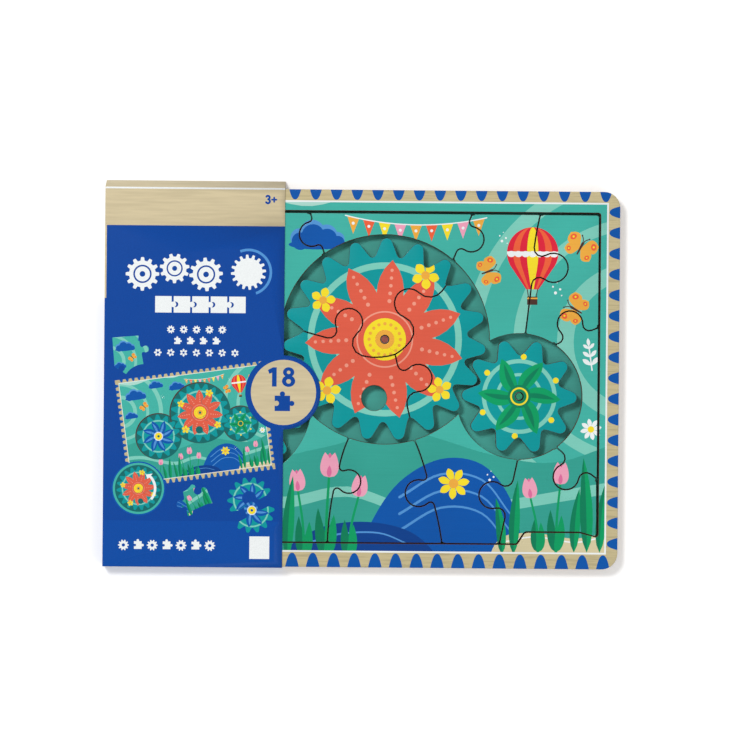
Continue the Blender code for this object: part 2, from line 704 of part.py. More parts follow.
def board_cuts():
    """The twelve cuts round the board, clockwise from the top left."""
    left, centre, right = LEFT_GEAR, CENTRE_GEAR, RIGHT_GEAR
    return {
        "top_left": top_cut(centre, TOP_LEFT_BEARING, TOP_LEFT_RUN, TOP_LEFT_KNOB),
        "top_middle": top_cut(centre, TOP_MIDDLE_BEARING, TOP_MIDDLE_RUN, TOP_MIDDLE_KNOB),
        "top_right": top_cut(right, TOP_RIGHT_BEARING, TOP_RIGHT_RUN, TOP_RIGHT_KNOB),
        "right_upper": side_cut(
            right, RIGHT_UPPER_BEARING, PIECES_RIGHT, RIGHT_UPPER_RUN, RIGHT_UPPER_KNOB
        ),
        "right_lower": side_cut(
            right, RIGHT_LOWER_BEARING, PIECES_RIGHT, RIGHT_LOWER_RUN, RIGHT_LOWER_KNOB
        ),
        "bottom_right": bottom_cut(right, BOTTOM_RIGHT_BEARING, BOTTOM_RIGHT_RUN, BOTTOM_RIGHT_KNOB),
        "bottom_middle": bottom_cut(
            centre, BOTTOM_MIDDLE_BEARING, BOTTOM_MIDDLE_RUN, BOTTOM_MIDDLE_KNOB
        ),
        "bottom_left": bottom_cut(centre, BOTTOM_LEFT_BEARING, BOTTOM_LEFT_RUN, BOTTOM_LEFT_KNOB),
        "hidden_bottom": bottom_cut(left, HIDDEN_BOTTOM_BEARING, HIDDEN_BOTTOM_RUN, HIDDEN_BOTTOM_KNOB),
        "hidden_lower": side_cut(
            left, HIDDEN_LOWER_BEARING, PIECES_LEFT, HIDDEN_LOWER_RUN, HIDDEN_LOWER_KNOB
        ),
        "hidden_upper": side_cut(
            left, HIDDEN_UPPER_BEARING, PIECES_LEFT, HIDDEN_UPPER_RUN, HIDDEN_UPPER_KNOB
        ),
        "hidden_top": top_cut(left, HIDDEN_TOP_BEARING, HIDDEN_TOP_RUN, HIDDEN_TOP_KNOB),
    }


def board_seeds(cuts):
    """A point on each of the twelve pieces, a little way in from the frame."""
    def between(first, second):
        return (cuts[first].edge_end + cuts[second].edge_end) / 2

    low = PIECES_BOTTOM + SEED_INSET
    high = PIECES_TOP - SEED_INSET
    near_left = PIECES_LEFT + SEED_INSET
    near_right = PIECES_RIGHT - SEED_INSET
    above_tab = OPENING_BOTTOM + TAB_RISE + 2 * SEED_INSET
    return {
        "top_middle_piece": Vector((between("top_left", "top_middle").x, high)),
        "top_right_middle_piece": Vector((between("top_middle", "top_right").x, high)),
        "top_right_corner_piece": Vector((near_right, high)),
        "right_edge_piece": Vector((near_right, between("right_upper", "right_lower").y)),
        "bottom_right_corner_piece": Vector((near_right, above_tab)),
        "bottom_right_middle_piece": Vector((between("bottom_middle", "bottom_right").x, low)),
        "bottom_middle_piece": Vector((between("bottom_left", "bottom_middle").x, low)),
        "bottom_left_middle_piece": Vector((between("hidden_bottom", "bottom_left").x, low)),
        "bottom_left_corner_piece": Vector((near_left, low)),
        "left_edge_piece": Vector((near_left, between("hidden_lower", "hidden_upper").y)),
        "top_left_corner_piece": Vector((near_left, high)),
        "top_left_middle_piece": Vector((between("hidden_top", "top_left").x, high)),
    }


def build_board(origin, parts, cutters):
    """Twelve jigsaw pieces cut from one block, with a round cavity for each gear."""
    block = opening_outline(PIECES_LEFT, PIECES_RIGHT, PIECES_BOTTOM, PIECES_TOP, FIT_BOTTOM)
    blank = new_prism("board_blank", [block], STOCK_BOTTOM, STOCK_TOP, origin, parts)
    tools = []
    for name, gear in (("left", LEFT_GEAR), ("centre", CENTRE_GEAR), ("right", RIGHT_GEAR)):
        bpy.ops.mesh.primitive_cylinder_add(
            vertices=CAVITY_SIDES,
            radius=gear.cavity_radius,
            depth=STOCK_THICKNESS + 2 * CUTTER_OVERSHOOT,
            location=(gear.centre.x, gear.centre.y, (STOCK_BOTTOM + STOCK_TOP) / 2),
        )
        cavity = bpy.context.object
        cavity.name = name + "_gear_cavity"
        cavity.parent = origin
        for collection in cavity.users_collection:
            collection.objects.unlink(cavity)
        cutters.objects.link(cavity)
        tools.append(as_cutter(cavity))
    cuts = board_cuts()
    for name, cut in cuts.items():
        kerf = new_kerf("board_" + name + "_kerf", cut.line(), KERF_FLARE, KERF_FLARE, origin, cutters)
        tools.append(kerf)
    seeds = board_seeds(cuts)
    looks = {name: BLUE_BOARD_PRINT if name in BLUE_BOARD_PIECES else BOARD_PRINT for name in seeds}
    cut_into_pieces(blank, tools, seeds, looks)


def build_sleeve(origin, parts):
    """A card cap over the tray's left end: four walls, a closed end and a half disc in front."""
    cover = bmesh.new()
    bmesh.ops.create_cube(cover, size=1)
    for vertex in cover.verts:
        in_front = vertex.co.z > 0
        at_top = vertex.co.y > 0
        vertex.co.x = SLEEVE_RIGHT if vertex.co.x > 0 else SLEEVE_LEFT
        vertex.co.y = SLEEVE_TOP if at_top else SLEEVE_BOTTOM
        vertex.co.z = SLEEVE_FRONT if in_front else SLEEVE_BACK
        if at_top and not in_front:
            vertex.co.y += SLEEVE_BACK_RISE
    mouth = max(cover.faces, key=lambda face: face.calc_center_median().x)
    bmesh.ops.delete(cover, geom=[mouth], context="FACES_ONLY")
    lip = None
    for edge in cover.edges:
        if edge.is_boundary and all(vertex.co.z > 0 for vertex in edge.verts):
            lip = edge
    bmesh.ops.subdivide_edges(cover, edges=[lip], cuts=DISC_STEPS + 1)
    disc_centre = Vector((SLEEVE_RIGHT, (TRAY_TOP + TRAY_BOTTOM) / 2 - SLEEVE_DISC_DROP))
    disc = arc(disc_centre, SLEEVE_DISC_RADIUS, -math.pi / 2, math.pi / 2, DISC_STEPS)
    lip_vertices = [v for v in cover.verts if v.co.z > 0 and v.is_boundary and v.link_edges]
    inner = sorted(lip_vertices, key=lambda vertex: vertex.co.y)[1:-1]
    for vertex, point in zip(inner, disc):
        vertex.co.x = point.x
        vertex.co.y = point.y
    mesh = bpy.data.meshes.new("card_sleeve")
    cover.to_mesh(mesh)
    cover.free()
    sleeve = bpy.data.objects.new("card_sleeve", mesh)
    sleeve.parent = origin
    parts.objects.link(sleeve)
    card = sleeve.modifiers.new("card", "SOLIDIFY")
    card.thickness = CARD_THICKNESS
    card.offset = -1
    card.use_even_offset = True
    finish(sleeve, *CARD_PRINT)


def main():
    """Build the whole puzzle."""
    remove_all_objects()
    parts = new_collection("gear_puzzle")
    cutters = new_collection("gear_puzzle_cutters")
    middle_x = (SLEEVE_LEFT + TRAY_RIGHT) / 2
    middle_y = (SLEEVE_BOTTOM + SLEEVE_TOP + SLEEVE_BACK_RISE) / 2
    origin = new_empty("puzzle_origin", (-middle_x, -middle_y, -SLEEVE_BACK), None, parts)
    axles = {}
    for name, gear in (("left", LEFT_GEAR), ("centre", CENTRE_GEAR), ("right", RIGHT_GEAR)):
        axles[name] = new_empty(name + "_gear_axis", (*gear.centre, 0), origin, parts)
    build_tray(origin, parts)
    build_pegs(axles, parts)
    build_centre_gear(axles["centre"], parts, cutters)
    build_left_gear(axles["left"], parts, cutters)
    build_right_gear(axles["right"], parts)
    build_board(origin, parts, cutters)
    build_sleeve(origin, parts)
    bpy.context.view_layer.update()


main()
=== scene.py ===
"""Finish of the wooden gear puzzle: printed wood, a printed card sleeve and a pale stage.

The solids give every outline. Each printed piece is rebuilt on its solid's own outline with a
rounded upper edge, and its top is divided along the edges of the printed shapes, so that every
colour of the print is real geometry. Prints are drawn in millimetres.
"""

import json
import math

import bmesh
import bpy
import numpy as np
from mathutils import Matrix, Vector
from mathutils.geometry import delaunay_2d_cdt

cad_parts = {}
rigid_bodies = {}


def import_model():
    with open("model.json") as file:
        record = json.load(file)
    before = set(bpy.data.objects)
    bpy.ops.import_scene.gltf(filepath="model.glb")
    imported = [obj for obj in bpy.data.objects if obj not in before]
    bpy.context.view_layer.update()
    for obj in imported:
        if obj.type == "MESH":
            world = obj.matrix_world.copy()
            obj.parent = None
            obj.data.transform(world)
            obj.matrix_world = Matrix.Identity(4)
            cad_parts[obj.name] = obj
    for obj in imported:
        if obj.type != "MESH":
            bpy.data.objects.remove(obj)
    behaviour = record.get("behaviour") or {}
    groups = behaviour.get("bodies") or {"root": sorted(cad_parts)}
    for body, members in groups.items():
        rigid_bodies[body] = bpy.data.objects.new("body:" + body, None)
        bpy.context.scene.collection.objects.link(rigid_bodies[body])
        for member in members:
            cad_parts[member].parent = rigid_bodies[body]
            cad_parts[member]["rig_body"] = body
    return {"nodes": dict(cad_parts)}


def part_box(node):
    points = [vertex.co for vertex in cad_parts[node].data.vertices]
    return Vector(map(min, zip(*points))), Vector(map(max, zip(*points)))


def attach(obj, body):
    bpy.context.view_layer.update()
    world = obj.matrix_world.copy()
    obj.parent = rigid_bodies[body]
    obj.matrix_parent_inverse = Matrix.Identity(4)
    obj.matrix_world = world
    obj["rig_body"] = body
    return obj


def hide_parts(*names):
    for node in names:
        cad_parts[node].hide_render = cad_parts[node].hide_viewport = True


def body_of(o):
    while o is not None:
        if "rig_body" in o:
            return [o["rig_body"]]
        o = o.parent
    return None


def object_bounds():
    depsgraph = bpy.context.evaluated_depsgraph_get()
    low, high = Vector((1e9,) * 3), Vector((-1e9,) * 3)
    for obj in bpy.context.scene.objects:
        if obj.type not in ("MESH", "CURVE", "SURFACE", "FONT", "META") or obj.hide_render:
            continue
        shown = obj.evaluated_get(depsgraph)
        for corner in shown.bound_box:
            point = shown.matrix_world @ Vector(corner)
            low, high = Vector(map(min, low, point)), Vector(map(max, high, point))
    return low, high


bl_info = {
    "name": "Gear puzzle finish",
    "version": (1, 0, 0),
    "blender": (4, 5, 0),
    "location": "View3D > Sidebar > Gear puzzle",
    "description": "Prints, wood and card for the gear puzzle, and the stage it is shown on",
    "category": "Object",
}

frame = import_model()
CAD_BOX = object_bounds()

# Millimetres to metres
MM = 0.001

# In millimetres: how close two points are one, how close two corners of a node's top are one, and
# how far a point may lie from a side that it is on
SAME_POINT = 0.002
CLOSE_CORNERS = 0.03
SLACK = 0.02

# A corner that turns back further than this cosine is a burr of the saw cut, and is worn off
BURR = -0.7

# Least that one plus a corner's cosine counts as in its mitre, so that no mitre grows long
MITRE_LIMIT = 0.35

# Faces of a finished piece that meet at more than this show an edge
SHARP_ANGLE = math.radians(42)

BOARD_NODES = [
    "top_left_corner_piece", "top_left_middle_piece", "top_middle_piece", "top_right_middle_piece",
    "top_right_corner_piece", "right_edge_piece", "bottom_right_corner_piece",
    "bottom_right_middle_piece", "bottom_middle_piece", "bottom_left_middle_piece",
    "bottom_left_corner_piece", "left_edge_piece",
]

# Each gear's peg, the stain of the peg and the gear's pieces, in the order that the sleeve shows them
GEARS = (
    ("left_gear_peg", "bark", ["left_gear_crescent_piece", "left_gear_hub_piece"]),
    ("right_gear_peg", "deep_leaf", ["right_gear"]),
    ("centre_gear_peg", "rust",
     ["centre_gear_hub_piece", "centre_gear_right_piece", "centre_gear_finger_piece"]),
)

# What the rounding above a wall shows where the print has worn or burnt off it
ROUNDING_FINISHES = {"burnt_ply": "bark", "hardboard": "hardboard"}

# How far the floor lies under the puzzle in metres, and the light that only the camera sees on it
FLOOR_GAP = 0.0001
FLOOR_GLOW = 0.22

# Each lamp's place and side in metres, and the stage's value that is its power
LAMPS = {
    "key_lamp": ((-0.95, 1.0, 2.3), 0.6, "key_power"),
    "fill_lamp": ((1.5, -1.1, 1.7), 1.6, "fill_power"),
}

# How far out and how far down each level of a rounded edge lies, as shares of its radius
ROUND_STEPS = 4
ROUNDING = [
    (math.sin(quarter), 1 - math.cos(quarter))
    for quarter in (step / ROUND_STEPS * math.pi / 2 for step in range(1, ROUND_STEPS + 1))
]


def ink(name, description, red, green, blue):
    """A colour property whose default is given as red, green and blue out of 255."""
    return bpy.props.FloatVectorProperty(
        name=name, description=description, subtype="COLOR_GAMMA", size=3, min=0, max=1,
        default=(red / 255, green / 255, blue / 255),
    )


def number(subtype, **settings):
    """A maker of number properties of one kind."""
    def make(name, description, default):
        return bpy.props.FloatProperty(
            name=name, description=description, default=default, subtype=subtype, **settings
        )
    return make


length = number("DISTANCE", unit="LENGTH", min=0, precision=4)
share = number("FACTOR", min=0, max=1)
angle = number("ANGLE", unit="ROTATION")
power = number("POWER", unit="POWER")


class GearPuzzleInks(bpy.types.PropertyGroup):
    """Colours of the prints, the wood and the card"""

    teal: ink("Teal", "Ground of the picture", 66, 178, 164)
    deep_teal: ink("Deep teal", "Lower ground of the picture", 52, 160, 145)
    gear_teal: ink("Gear teal", "Ground of the gears", 0, 150, 154)
    mint: ink("Mint", "Bands of breeze and rings on the gears", 126, 204, 187)
    pale_mint: ink("Pale mint", "Pale bands and dots", 174, 219, 207)
    hollow: ink("Hollow", "Floor of the gears' hollows", 72, 165, 153)
    shade: ink("Shade", "Hollows in the small pictures on the card", 14, 104, 102)
    coral: ink("Coral", "Big flower on the centre gear", 224, 94, 71)
    pale_coral: ink("Pale coral", "Dots on the coral petals", 240, 156, 134)
    yellow: ink("Yellow", "Small flowers and discs", 247, 223, 44)
    orange: ink("Orange", "Butterflies and pennants", 238, 172, 66)
    flame: ink("Flame", "Orange-red wing tips and pennants", 238, 98, 60)
    red: ink("Red", "Balloon", 221, 36, 60)
    royal: ink("Royal blue", "Scallops, hill and clouds", 0, 84, 168)
    navy: ink("Navy", "Shaded side of the hill", 0, 62, 138)
    sky: ink("Sky blue", "Light parts of the blue shapes", 82, 148, 212)
    pink: ink("Pink", "Tulips", 240, 163, 188)
    deep_pink: ink("Deep pink", "Shaded petals of the tulips", 222, 112, 158)
    leaf: ink("Leaf green", "Leaves and blades", 0, 156, 96)
    deep_leaf: ink("Deep leaf green", "Shaded leaves and blades", 0, 124, 86)
    sand: ink("Sand", "Path at the bottom of the picture", 216, 204, 164)
    bare_wood: ink("Bare wood", "Varnished wood round the picture", 198, 184, 142)
    # White is also the painted highlight along the sleeve's top fold
    white: ink("White", "White line and dots", 240, 244, 244)
    bark: ink("Bark", "Dark brown details", 74, 46, 40)
    rust: ink("Rust", "Stained end of the centre peg", 138, 58, 44)
    sleeve_blue: ink("Sleeve blue", "Printed card", 0, 68, 154)
    # Painted light: the lower band is a lighter blue that stands in for the light falling on the card below a
    # fold
    sleeve_low_blue: ink("Lower sleeve blue", "Lower panel of the card", 0, 74, 162)
    sleeve_tan: ink("Sleeve tan", "Upper panel of the card and its disc", 208, 193, 157)
    plywood: ink("Plywood", "Light plies of the tray's sanded edges", 196, 164, 118)
    burnt_ply: ink("Burnt plywood", "Light plies of the edges that the laser cut", 112, 82, 56)
    hardboard: ink("Hardboard", "Bare back board", 142, 104, 70)
    card_core: ink("Card", "Unprinted side and edges of the card", 176, 168, 152)


class GearPuzzleSizes(bpy.types.PropertyGroup):
    """Sizes of the finish that the solids leave open"""

    edge_round: length("Edge rounding", "Radius of the worn upper edges of the pieces", 0.0004)
    frame_round: length("Frame rounding", "Radius of the frame's upper edges", 0.0008)
    side_margin: length("Side margin", "From the tray's sides to the white line", 0.0090)
    top_margin: length("Top margin", "From the tray's top to the white line", 0.0086)
    bottom_margin: length("Bottom margin", "From the tray's bottom to the white line", 0.0117)
    white_line: length("White line", "Width of the line round the picture", 0.0013)
    scallop_pitch: length("Scallop pitch", "From one printed scallop to the next", 0.01613)
    scallop_width: length("Scallop width", "Width of a scallop a centimetre from its tip", 0.0102)
    scallop_gap: length("Scallop gap", "From the tip of a scallop to the white line", 0.0006)
    first_in_row: length("First in row", "From the tray's right edge to the first scallop", 0.0113)
    first_in_column: length("First in column", "From the tray's top to the first scallop", 0.0159)
    card_thickness: length("Card thickness", "Thickness of the sleeve's card", 0.0006)
    card_fold: length("Card fold", "Outer radius of the sleeve's folds", 0.0009)
    varnish: share("Varnish", "How strong the clear coat over the wood print is", 0.2)
    card_gloss: share("Card gloss", "How strong the clear coat over the card print is", 0.2)


class GearPuzzleStage(bpy.types.PropertyGroup):
    """Camera, lamps and floor"""

    camera_height: length("Camera height", "From the puzzle's face to the camera", 2.5)
    field_width: length("Field width", "Width of the view at the puzzle's face", 0.5835)
    aim_right: length("Aim right", "How far the view is centred right of the tray's middle", 0.0101)
    aim_up: length("Aim up", "How far the view is centred above the tray's middle", 0.0029)
    roll: angle("Roll", "Turn of the camera about its own line of sight", math.radians(0.5))
    daylight: share("Daylight", "Even light from all round", 0.44)
    key_power: power("Key power", "Lamp at the upper left", 37)
    fill_power: power("Fill power", "Lamp at the lower right", 12)
    floor_size: length("Floor size", "Side of the square floor", 6.0)


def inks():
    """The scene's colours."""
    return bpy.context.scene.gear_puzzle_inks


def sizes():
    """The scene's sizes of the finish."""
    return bpy.context.scene.gear_puzzle_sizes


def stage():
    """The scene's stage values."""
    return bpy.context.scene.gear_puzzle_stage


# Flat outlines, in millimetres, with turns in degrees

def mm(name):
    """One of the finish's sizes, in millimetres."""
    return getattr(sizes(), name) / MM


def moved(points, x=0.0, y=0.0, turn=0.0, size=1.0):
    """Points scaled and turned about the origin, then shifted."""
    cos = math.cos(math.radians(turn)) * size
    sin = math.sin(math.radians(turn)) * size
    along, across = np.asarray(points, float).T
    return np.column_stack([x + along * cos - across * sin, y + along * sin + across * cos])


def away(x, y, reach, bearing):
    """The point at a distance from another, in a direction."""
    return x + reach * math.cos(math.radians(bearing)), y + reach * math.sin(math.radians(bearing))


def oval(x, y, half_width, half_height=None, turn=0.0):
    """An ellipse with as many sides as its size needs."""
    half_height = half_width if half_height is None else half_height
    sides = int(8 + 8 * math.sqrt(max(half_width, half_height)))
    angles = np.arange(sides) * 2 * math.pi / sides
    return moved(np.column_stack([half_width * np.cos(angles), half_height * np.sin(angles)]), x, y, turn)


def box(left, bottom, right, top):
    """A rectangle."""
    return np.array([(left, bottom), (right, bottom), (right, top), (left, top)], float)


def petal(x, y, reach, width, turn, bend=0.0, belly=1.0):
    """A leaf shape from its foot to its tip; belly under 1 is widest near the foot."""
    along = np.linspace(0, 1, 10)
    half = width / 2 * np.sin(math.pi * along ** belly) ** 0.8
    upper, lower = (np.column_stack([along * reach, bend * along ** 2 + side]) for side in (half, -half))
    return moved(np.vstack([upper, lower[-2:0:-1]]), x, y, turn)


def curve(points, steps=6):
    """A smooth open line through points."""
    points = np.asarray(points, float)
    padded = np.vstack([2 * points[0] - points[1], points, 2 * points[-1] - points[-2]])
    t = np.arange(steps)[:, None] / steps
    runs = []
    for before, start, end, after in zip(padded, padded[1:], padded[2:], padded[3:]):
        bend = 2 * before - 5 * start + 4 * end - after + t * (3 * (start - end) + after - before)
        runs.append(start + 0.5 * t * (end - before + t * bend))
    return np.vstack([*runs, points[-1]])


def left_of(ahead):
    """Directions turned a quarter to their left."""
    return np.column_stack([-ahead[:, 1], ahead[:, 0]])


def stroke(points, width, end_width=None):
    """A line of a width with round ends, which may taper."""
    points = np.asarray(points, float)
    ahead = np.gradient(points, axis=0)
    ahead /= np.linalg.norm(ahead, axis=1)[:, None]
    side = left_of(ahead)
    half = np.linspace(width, width if end_width is None else end_width, len(points))[:, None] / 2
    end_cap, start_cap = (
        [points[i] + way * half[i] * reach * (ahead[i] + across * side[i])
         for reach, across in ((0.71, 1), (1, 0), (0.71, -1))]
        for i, way in ((-1, 1), (0, -1))
    )
    return np.vstack([points + half * side, end_cap, (points - half * side)[::-1], start_cap])


def arc(x, y, radius, start, end):
    """Points along part of a circle."""
    steps = max(4, int(abs(end - start) / 360 * (10 + 9 * math.sqrt(radius))))
    angles = np.radians(np.linspace(start, end, steps + 1))
    return np.column_stack([x + radius * np.cos(angles), y + radius * np.sin(angles)])


def band(x, y, radius, width, start, end):
    """Part of a ring."""
    outer, inner = (arc(x, y, radius + half, start, end) for half in (width / 2, -width / 2))
    return np.vstack([outer, inner[::-1]])


def draw_rings(page, x, y, *rings):
    """Discs and rings about a point: for each its ink, its radius and, for a ring, its width."""
    for ink_name, radius, *width in rings:
        radii = (radius + width[0] / 2, radius - width[0] / 2) if width else (radius,)
        page.add(ink_name, *(oval(x, y, reach) for reach in radii))


def ground(points, bottom=-160):
    """Everything below a smooth line."""
    line = curve(points)
    return np.vstack([line, [(line[-1][0], bottom), (line[0][0], bottom)]])


def wheel(x, y, radius, teeth, depth, turn=0.0):
    """A toothed wheel with flat-topped teeth."""
    tooth_corners = ((-0.30, -depth), (-0.17, 0), (0.0, 0.03 * depth), (0.17, 0), (0.30, -depth))
    return np.array([
        away(x, y, radius + level, turn + (tooth + place) * 360 / teeth)
        for tooth in range(teeth) for place, level in tooth_corners
    ])


def clipped(points, left, bottom, right, top):
    """The part of an outline that lies in a rectangle."""
    for axis, limit, sign in ((0, left, 1), (0, right, -1), (1, bottom, 1), (1, top, -1)):
        kept = []
        for i, point in enumerate(points):
            before = points[i - 1]
            inner = sign * (point[axis] - limit) >= 0
            if inner != (sign * (before[axis] - limit) >= 0):
                part = (limit - before[axis]) / (point[axis] - before[axis])
                kept.append(before + part * (point - before))
            if inner:
                kept.append(point)
        points = np.array(kept)
        if len(points) < 3:
            return None
    return points


def thinned(points, spacing=0.22):
    """An outline without the corners that lie closer together than the print can show."""
    kept = [points[0]]
    for point in points[1:]:
        if np.abs(point - kept[-1]).max() > spacing:
            kept.append(point)
    return np.array(kept) if len(kept) > 2 else points


class Picture:
    """Printed shapes in painter's order: each an ink, its outlines and the outlines that mask it."""

    def __init__(self):
        self.shapes = []

    def add(self, ink_name, *outlines, mask=()):
        """Outlines inside the first one are holes; only what lies in the mask is printed."""
        self.shapes.append((ink_name, [np.asarray(outline, float) for outline in outlines], mask))

    def draw(self, motif, *places):
        """One motif at several places."""
        for place in places:
            motif(self, *place)

    def add_picture(self, picture, *place, mask=()):
        """Another picture and its mask, moved; a shape of it that has a mask keeps its own."""
        def put(outlines):
            return [thinned(moved(outline, *place)) for outline in outlines]

        masks = {}
        for ink_name, outlines, own_mask in picture.shapes:
            used = own_mask or mask
            if id(used) not in masks:
                masks[id(used)] = put(used)
            self.add(ink_name, *put(outlines), mask=masks[id(used)])

    def add_clipped(self, picture, *limits):
        """What of another picture lies in a rectangle."""
        for ink_name, outlines, _ in picture.shapes:
            inner = [clipped(outline, *limits) for outline in outlines]
            inner = [outline for outline in inner if outline is not None]
            if inner:
                self.add(ink_name, *inner)


# Motifs of the prints

def draw_butterfly(page, x, y, span, heading):
    """A butterfly seen from above, flying towards a heading."""
    for side in (1, -1):
        page.add("orange", petal(x, y, 0.50 * span, 0.36 * span, heading + side * 118, belly=1.5))
        page.add("orange", petal(x, y, 0.58 * span, 0.44 * span, heading + side * 58, belly=1.6))
        for reach, turn, size in ((0.42, 58, 0.085), (0.36, 118, 0.065)):
            turn = heading + side * turn
            spot = away(x, y, reach * span, turn)
            page.add("flame", oval(*spot, size * span, 1.25 * size * span, turn))
            page.add("yellow", oval(*spot, 0.4 * size * span))
        feeler = moved([(0.14, 0), (0.28, side * 0.04), (0.38, side * 0.13)], x, y, heading, span)
        page.add("bark", stroke(curve(feeler), 0.03 * span))
        page.add("bark", oval(*feeler[-1], 0.025 * span))
    body = moved([(-0.20, 0), (0.0, 0), (0.17, 0)], x, y, heading, span)
    page.add("bark", stroke(body, 0.05 * span, 0.085 * span))


def draw_balloon(page, x, y, radius):
    """A striped hot-air balloon with its basket."""
    hull = np.vstack([arc(0, 0, radius, -38, 218), radius * np.array([(-0.24, -1.42), (0.24, -1.42)])])
    for width, ink_name in ((1.0, "red"), (0.76, "flame"), (0.50, "red"), (0.22, "yellow")):
        page.add(ink_name, hull * (width, 1) + (x, y))
    lobes = 7
    for lobe in range(lobes):
        place = (lobe + 0.5) / lobes * 2 - 1
        page.add("white", oval(x + place * 0.97 * radius, y - 0.05 * radius, 0.15 * radius, 0.12 * radius))
    for ink_name, outline in (
        ("white", box(-1, -0.05, 1, 0.05)),
        ("bark", stroke([(-0.20, -1.42), (-0.15, -1.72)], 0.035)),
        ("bark", stroke([(0.20, -1.42), (0.15, -1.72)], 0.035)),
        ("bark", box(-0.20, -2.02, 0.20, -1.70)),
        ("orange", box(-0.20, -1.80, 0.20, -1.74)),
    ):
        page.add(ink_name, moved(outline, x, y, size=radius))


def draw_flower(page, x, y, radius, petals, colour, heart, turn=0.0):
    """A round flower with separate petals."""
    width = 1.9 * radius / petals * 1.7
    for index in range(petals):
        page.add(colour, petal(x, y, radius, width, turn + index * 360 / petals, belly=1.5))
    page.add(heart, oval(x, y, 0.30 * radius))


def draw_tulip(page, x, foot, height, lean, size):
    """A tulip on its stem, with two leaves."""
    head = (x + lean, foot + height)
    stem = curve([(x, foot), (x + 0.2 * lean, foot + 0.5 * height), head])
    page.add("deep_leaf", petal(x, foot, 0.62 * height, 0.50 * size, 108, -6, belly=0.7))
    page.add("leaf", petal(x, foot, 0.54 * height, 0.50 * size, 70, 6, belly=0.7))
    page.add("leaf", stroke(stem, 0.14 * size, 0.11 * size))
    tilt = 90 - lean
    page.add("deep_pink", petal(*head, 1.12 * size, 0.52 * size, tilt, belly=0.8))
    for side in (1, -1):
        page.add("pink", petal(*head, 1.15 * size, 0.60 * size, tilt + side * 20, -side * 3, belly=0.7))
    page.add("deep_pink", petal(*head, 0.55 * size, 0.22 * size, tilt, belly=0.8))


def draw_blade(page, x, foot, height, width, bend):
    """A tall blade of grass whose right half catches the light."""
    blade = petal(x, foot, height, width, 90, -bend, belly=0.75)
    page.add("deep_leaf", blade)
    middle = moved([(t * height, -bend * t ** 2) for t in np.linspace(0, 1, 8)], x, foot, 90)
    page.add("leaf", np.vstack([middle, blade[9:]]))


def draw_cloud(page, x, y, width):
    """A flat-bottomed blue cloud with a light upper edge."""
    puffs = [(-0.30, 0.02, 0.17), (-0.08, 0.12, 0.22), (0.17, 0.07, 0.19), (0.36, 0.0, 0.13)]
    for px, py, radius in puffs:
        page.add("sky", oval(x + px * width, y + (py + 0.03) * width, radius * width))
    for px, py, radius in puffs:
        page.add("royal", oval(x + (px + 0.01) * width, y + (py - 0.03) * width, radius * 0.92 * width))
    page.add("royal", oval(x, y - 0.07 * width, 0.50 * width, 0.085 * width))


def draw_sprig(page, x, y, height, turn):
    """A white stem with pairs of leaves."""
    page.add("white", stroke([away(x, y, reach * height, turn) for reach in (0, 0.5, 1)], 0.05 * height))
    pairs = 3
    for pair in range(pairs):
        place = away(x, y, (pair + 0.6) / pairs * height * 0.92, turn)
        reach = height * (0.40 - 0.06 * pair)
        for side in (1, -1):
            page.add("white", petal(*place, reach, 0.42 * reach, turn + side * 48, belly=1.2))
    page.add("white", petal(*away(x, y, height * 0.9, turn), 0.3 * height, 0.13 * height, turn))


def draw_seeds(page, x, y, size):
    """A few drifting white seeds."""
    for dx, dy, radius in (
        (0, 0, 0.30), (0.9, 0.7, 0.22), (-0.5, 1.2, 0.18), (1.2, -0.5, 0.14), (0.3, 2.0, 0.13),
    ):
        page.add("white", oval(x + dx * size, y + dy * size, radius * size))


def draw_garland(page, start, end, sag, flags, size):
    """Pennants on a sagging string."""
    start, end, down = np.array((start, end, (0, -1)), float)
    place = np.linspace(0, 1, 4 * flags + 1)[:, None]
    string = start + place * (end - start) + sag * 4 * place * (1 - place) * down
    colours = ("orange", "flame", "yellow", "pink")
    for flag in range(flags):
        left, middle, right = string[4 * flag:4 * flag + 5:2]
        inner = left * 0.88 + right * 0.12, middle, left * 0.12 + right * 0.88
        page.add(colours[flag % len(colours)], [*inner, middle + size * down])
        page.add("white", oval(*(middle + 0.36 * size * down), 0.09 * size))
    page.add("white", stroke(string, 0.9))


def jigsaw(x, y, side, knobs=(1, 1, -1, 0)):
    """A small jigsaw piece; for each of its sides 1 is a knob, -1 a bay and 0 straight."""
    outline = []
    for quarter, knob in enumerate(knobs):
        run = [(side / 2, -side / 2)]
        if knob:
            head = arc(0.61 * side, 0, 0.17 * side, -130, 130)
            run = np.vstack([run, head if knob > 0 else head * (-1, 1) + (side, 0)])
        outline.append(moved(run, turn=90 * quarter))
    return np.vstack(outline) + (x, y)


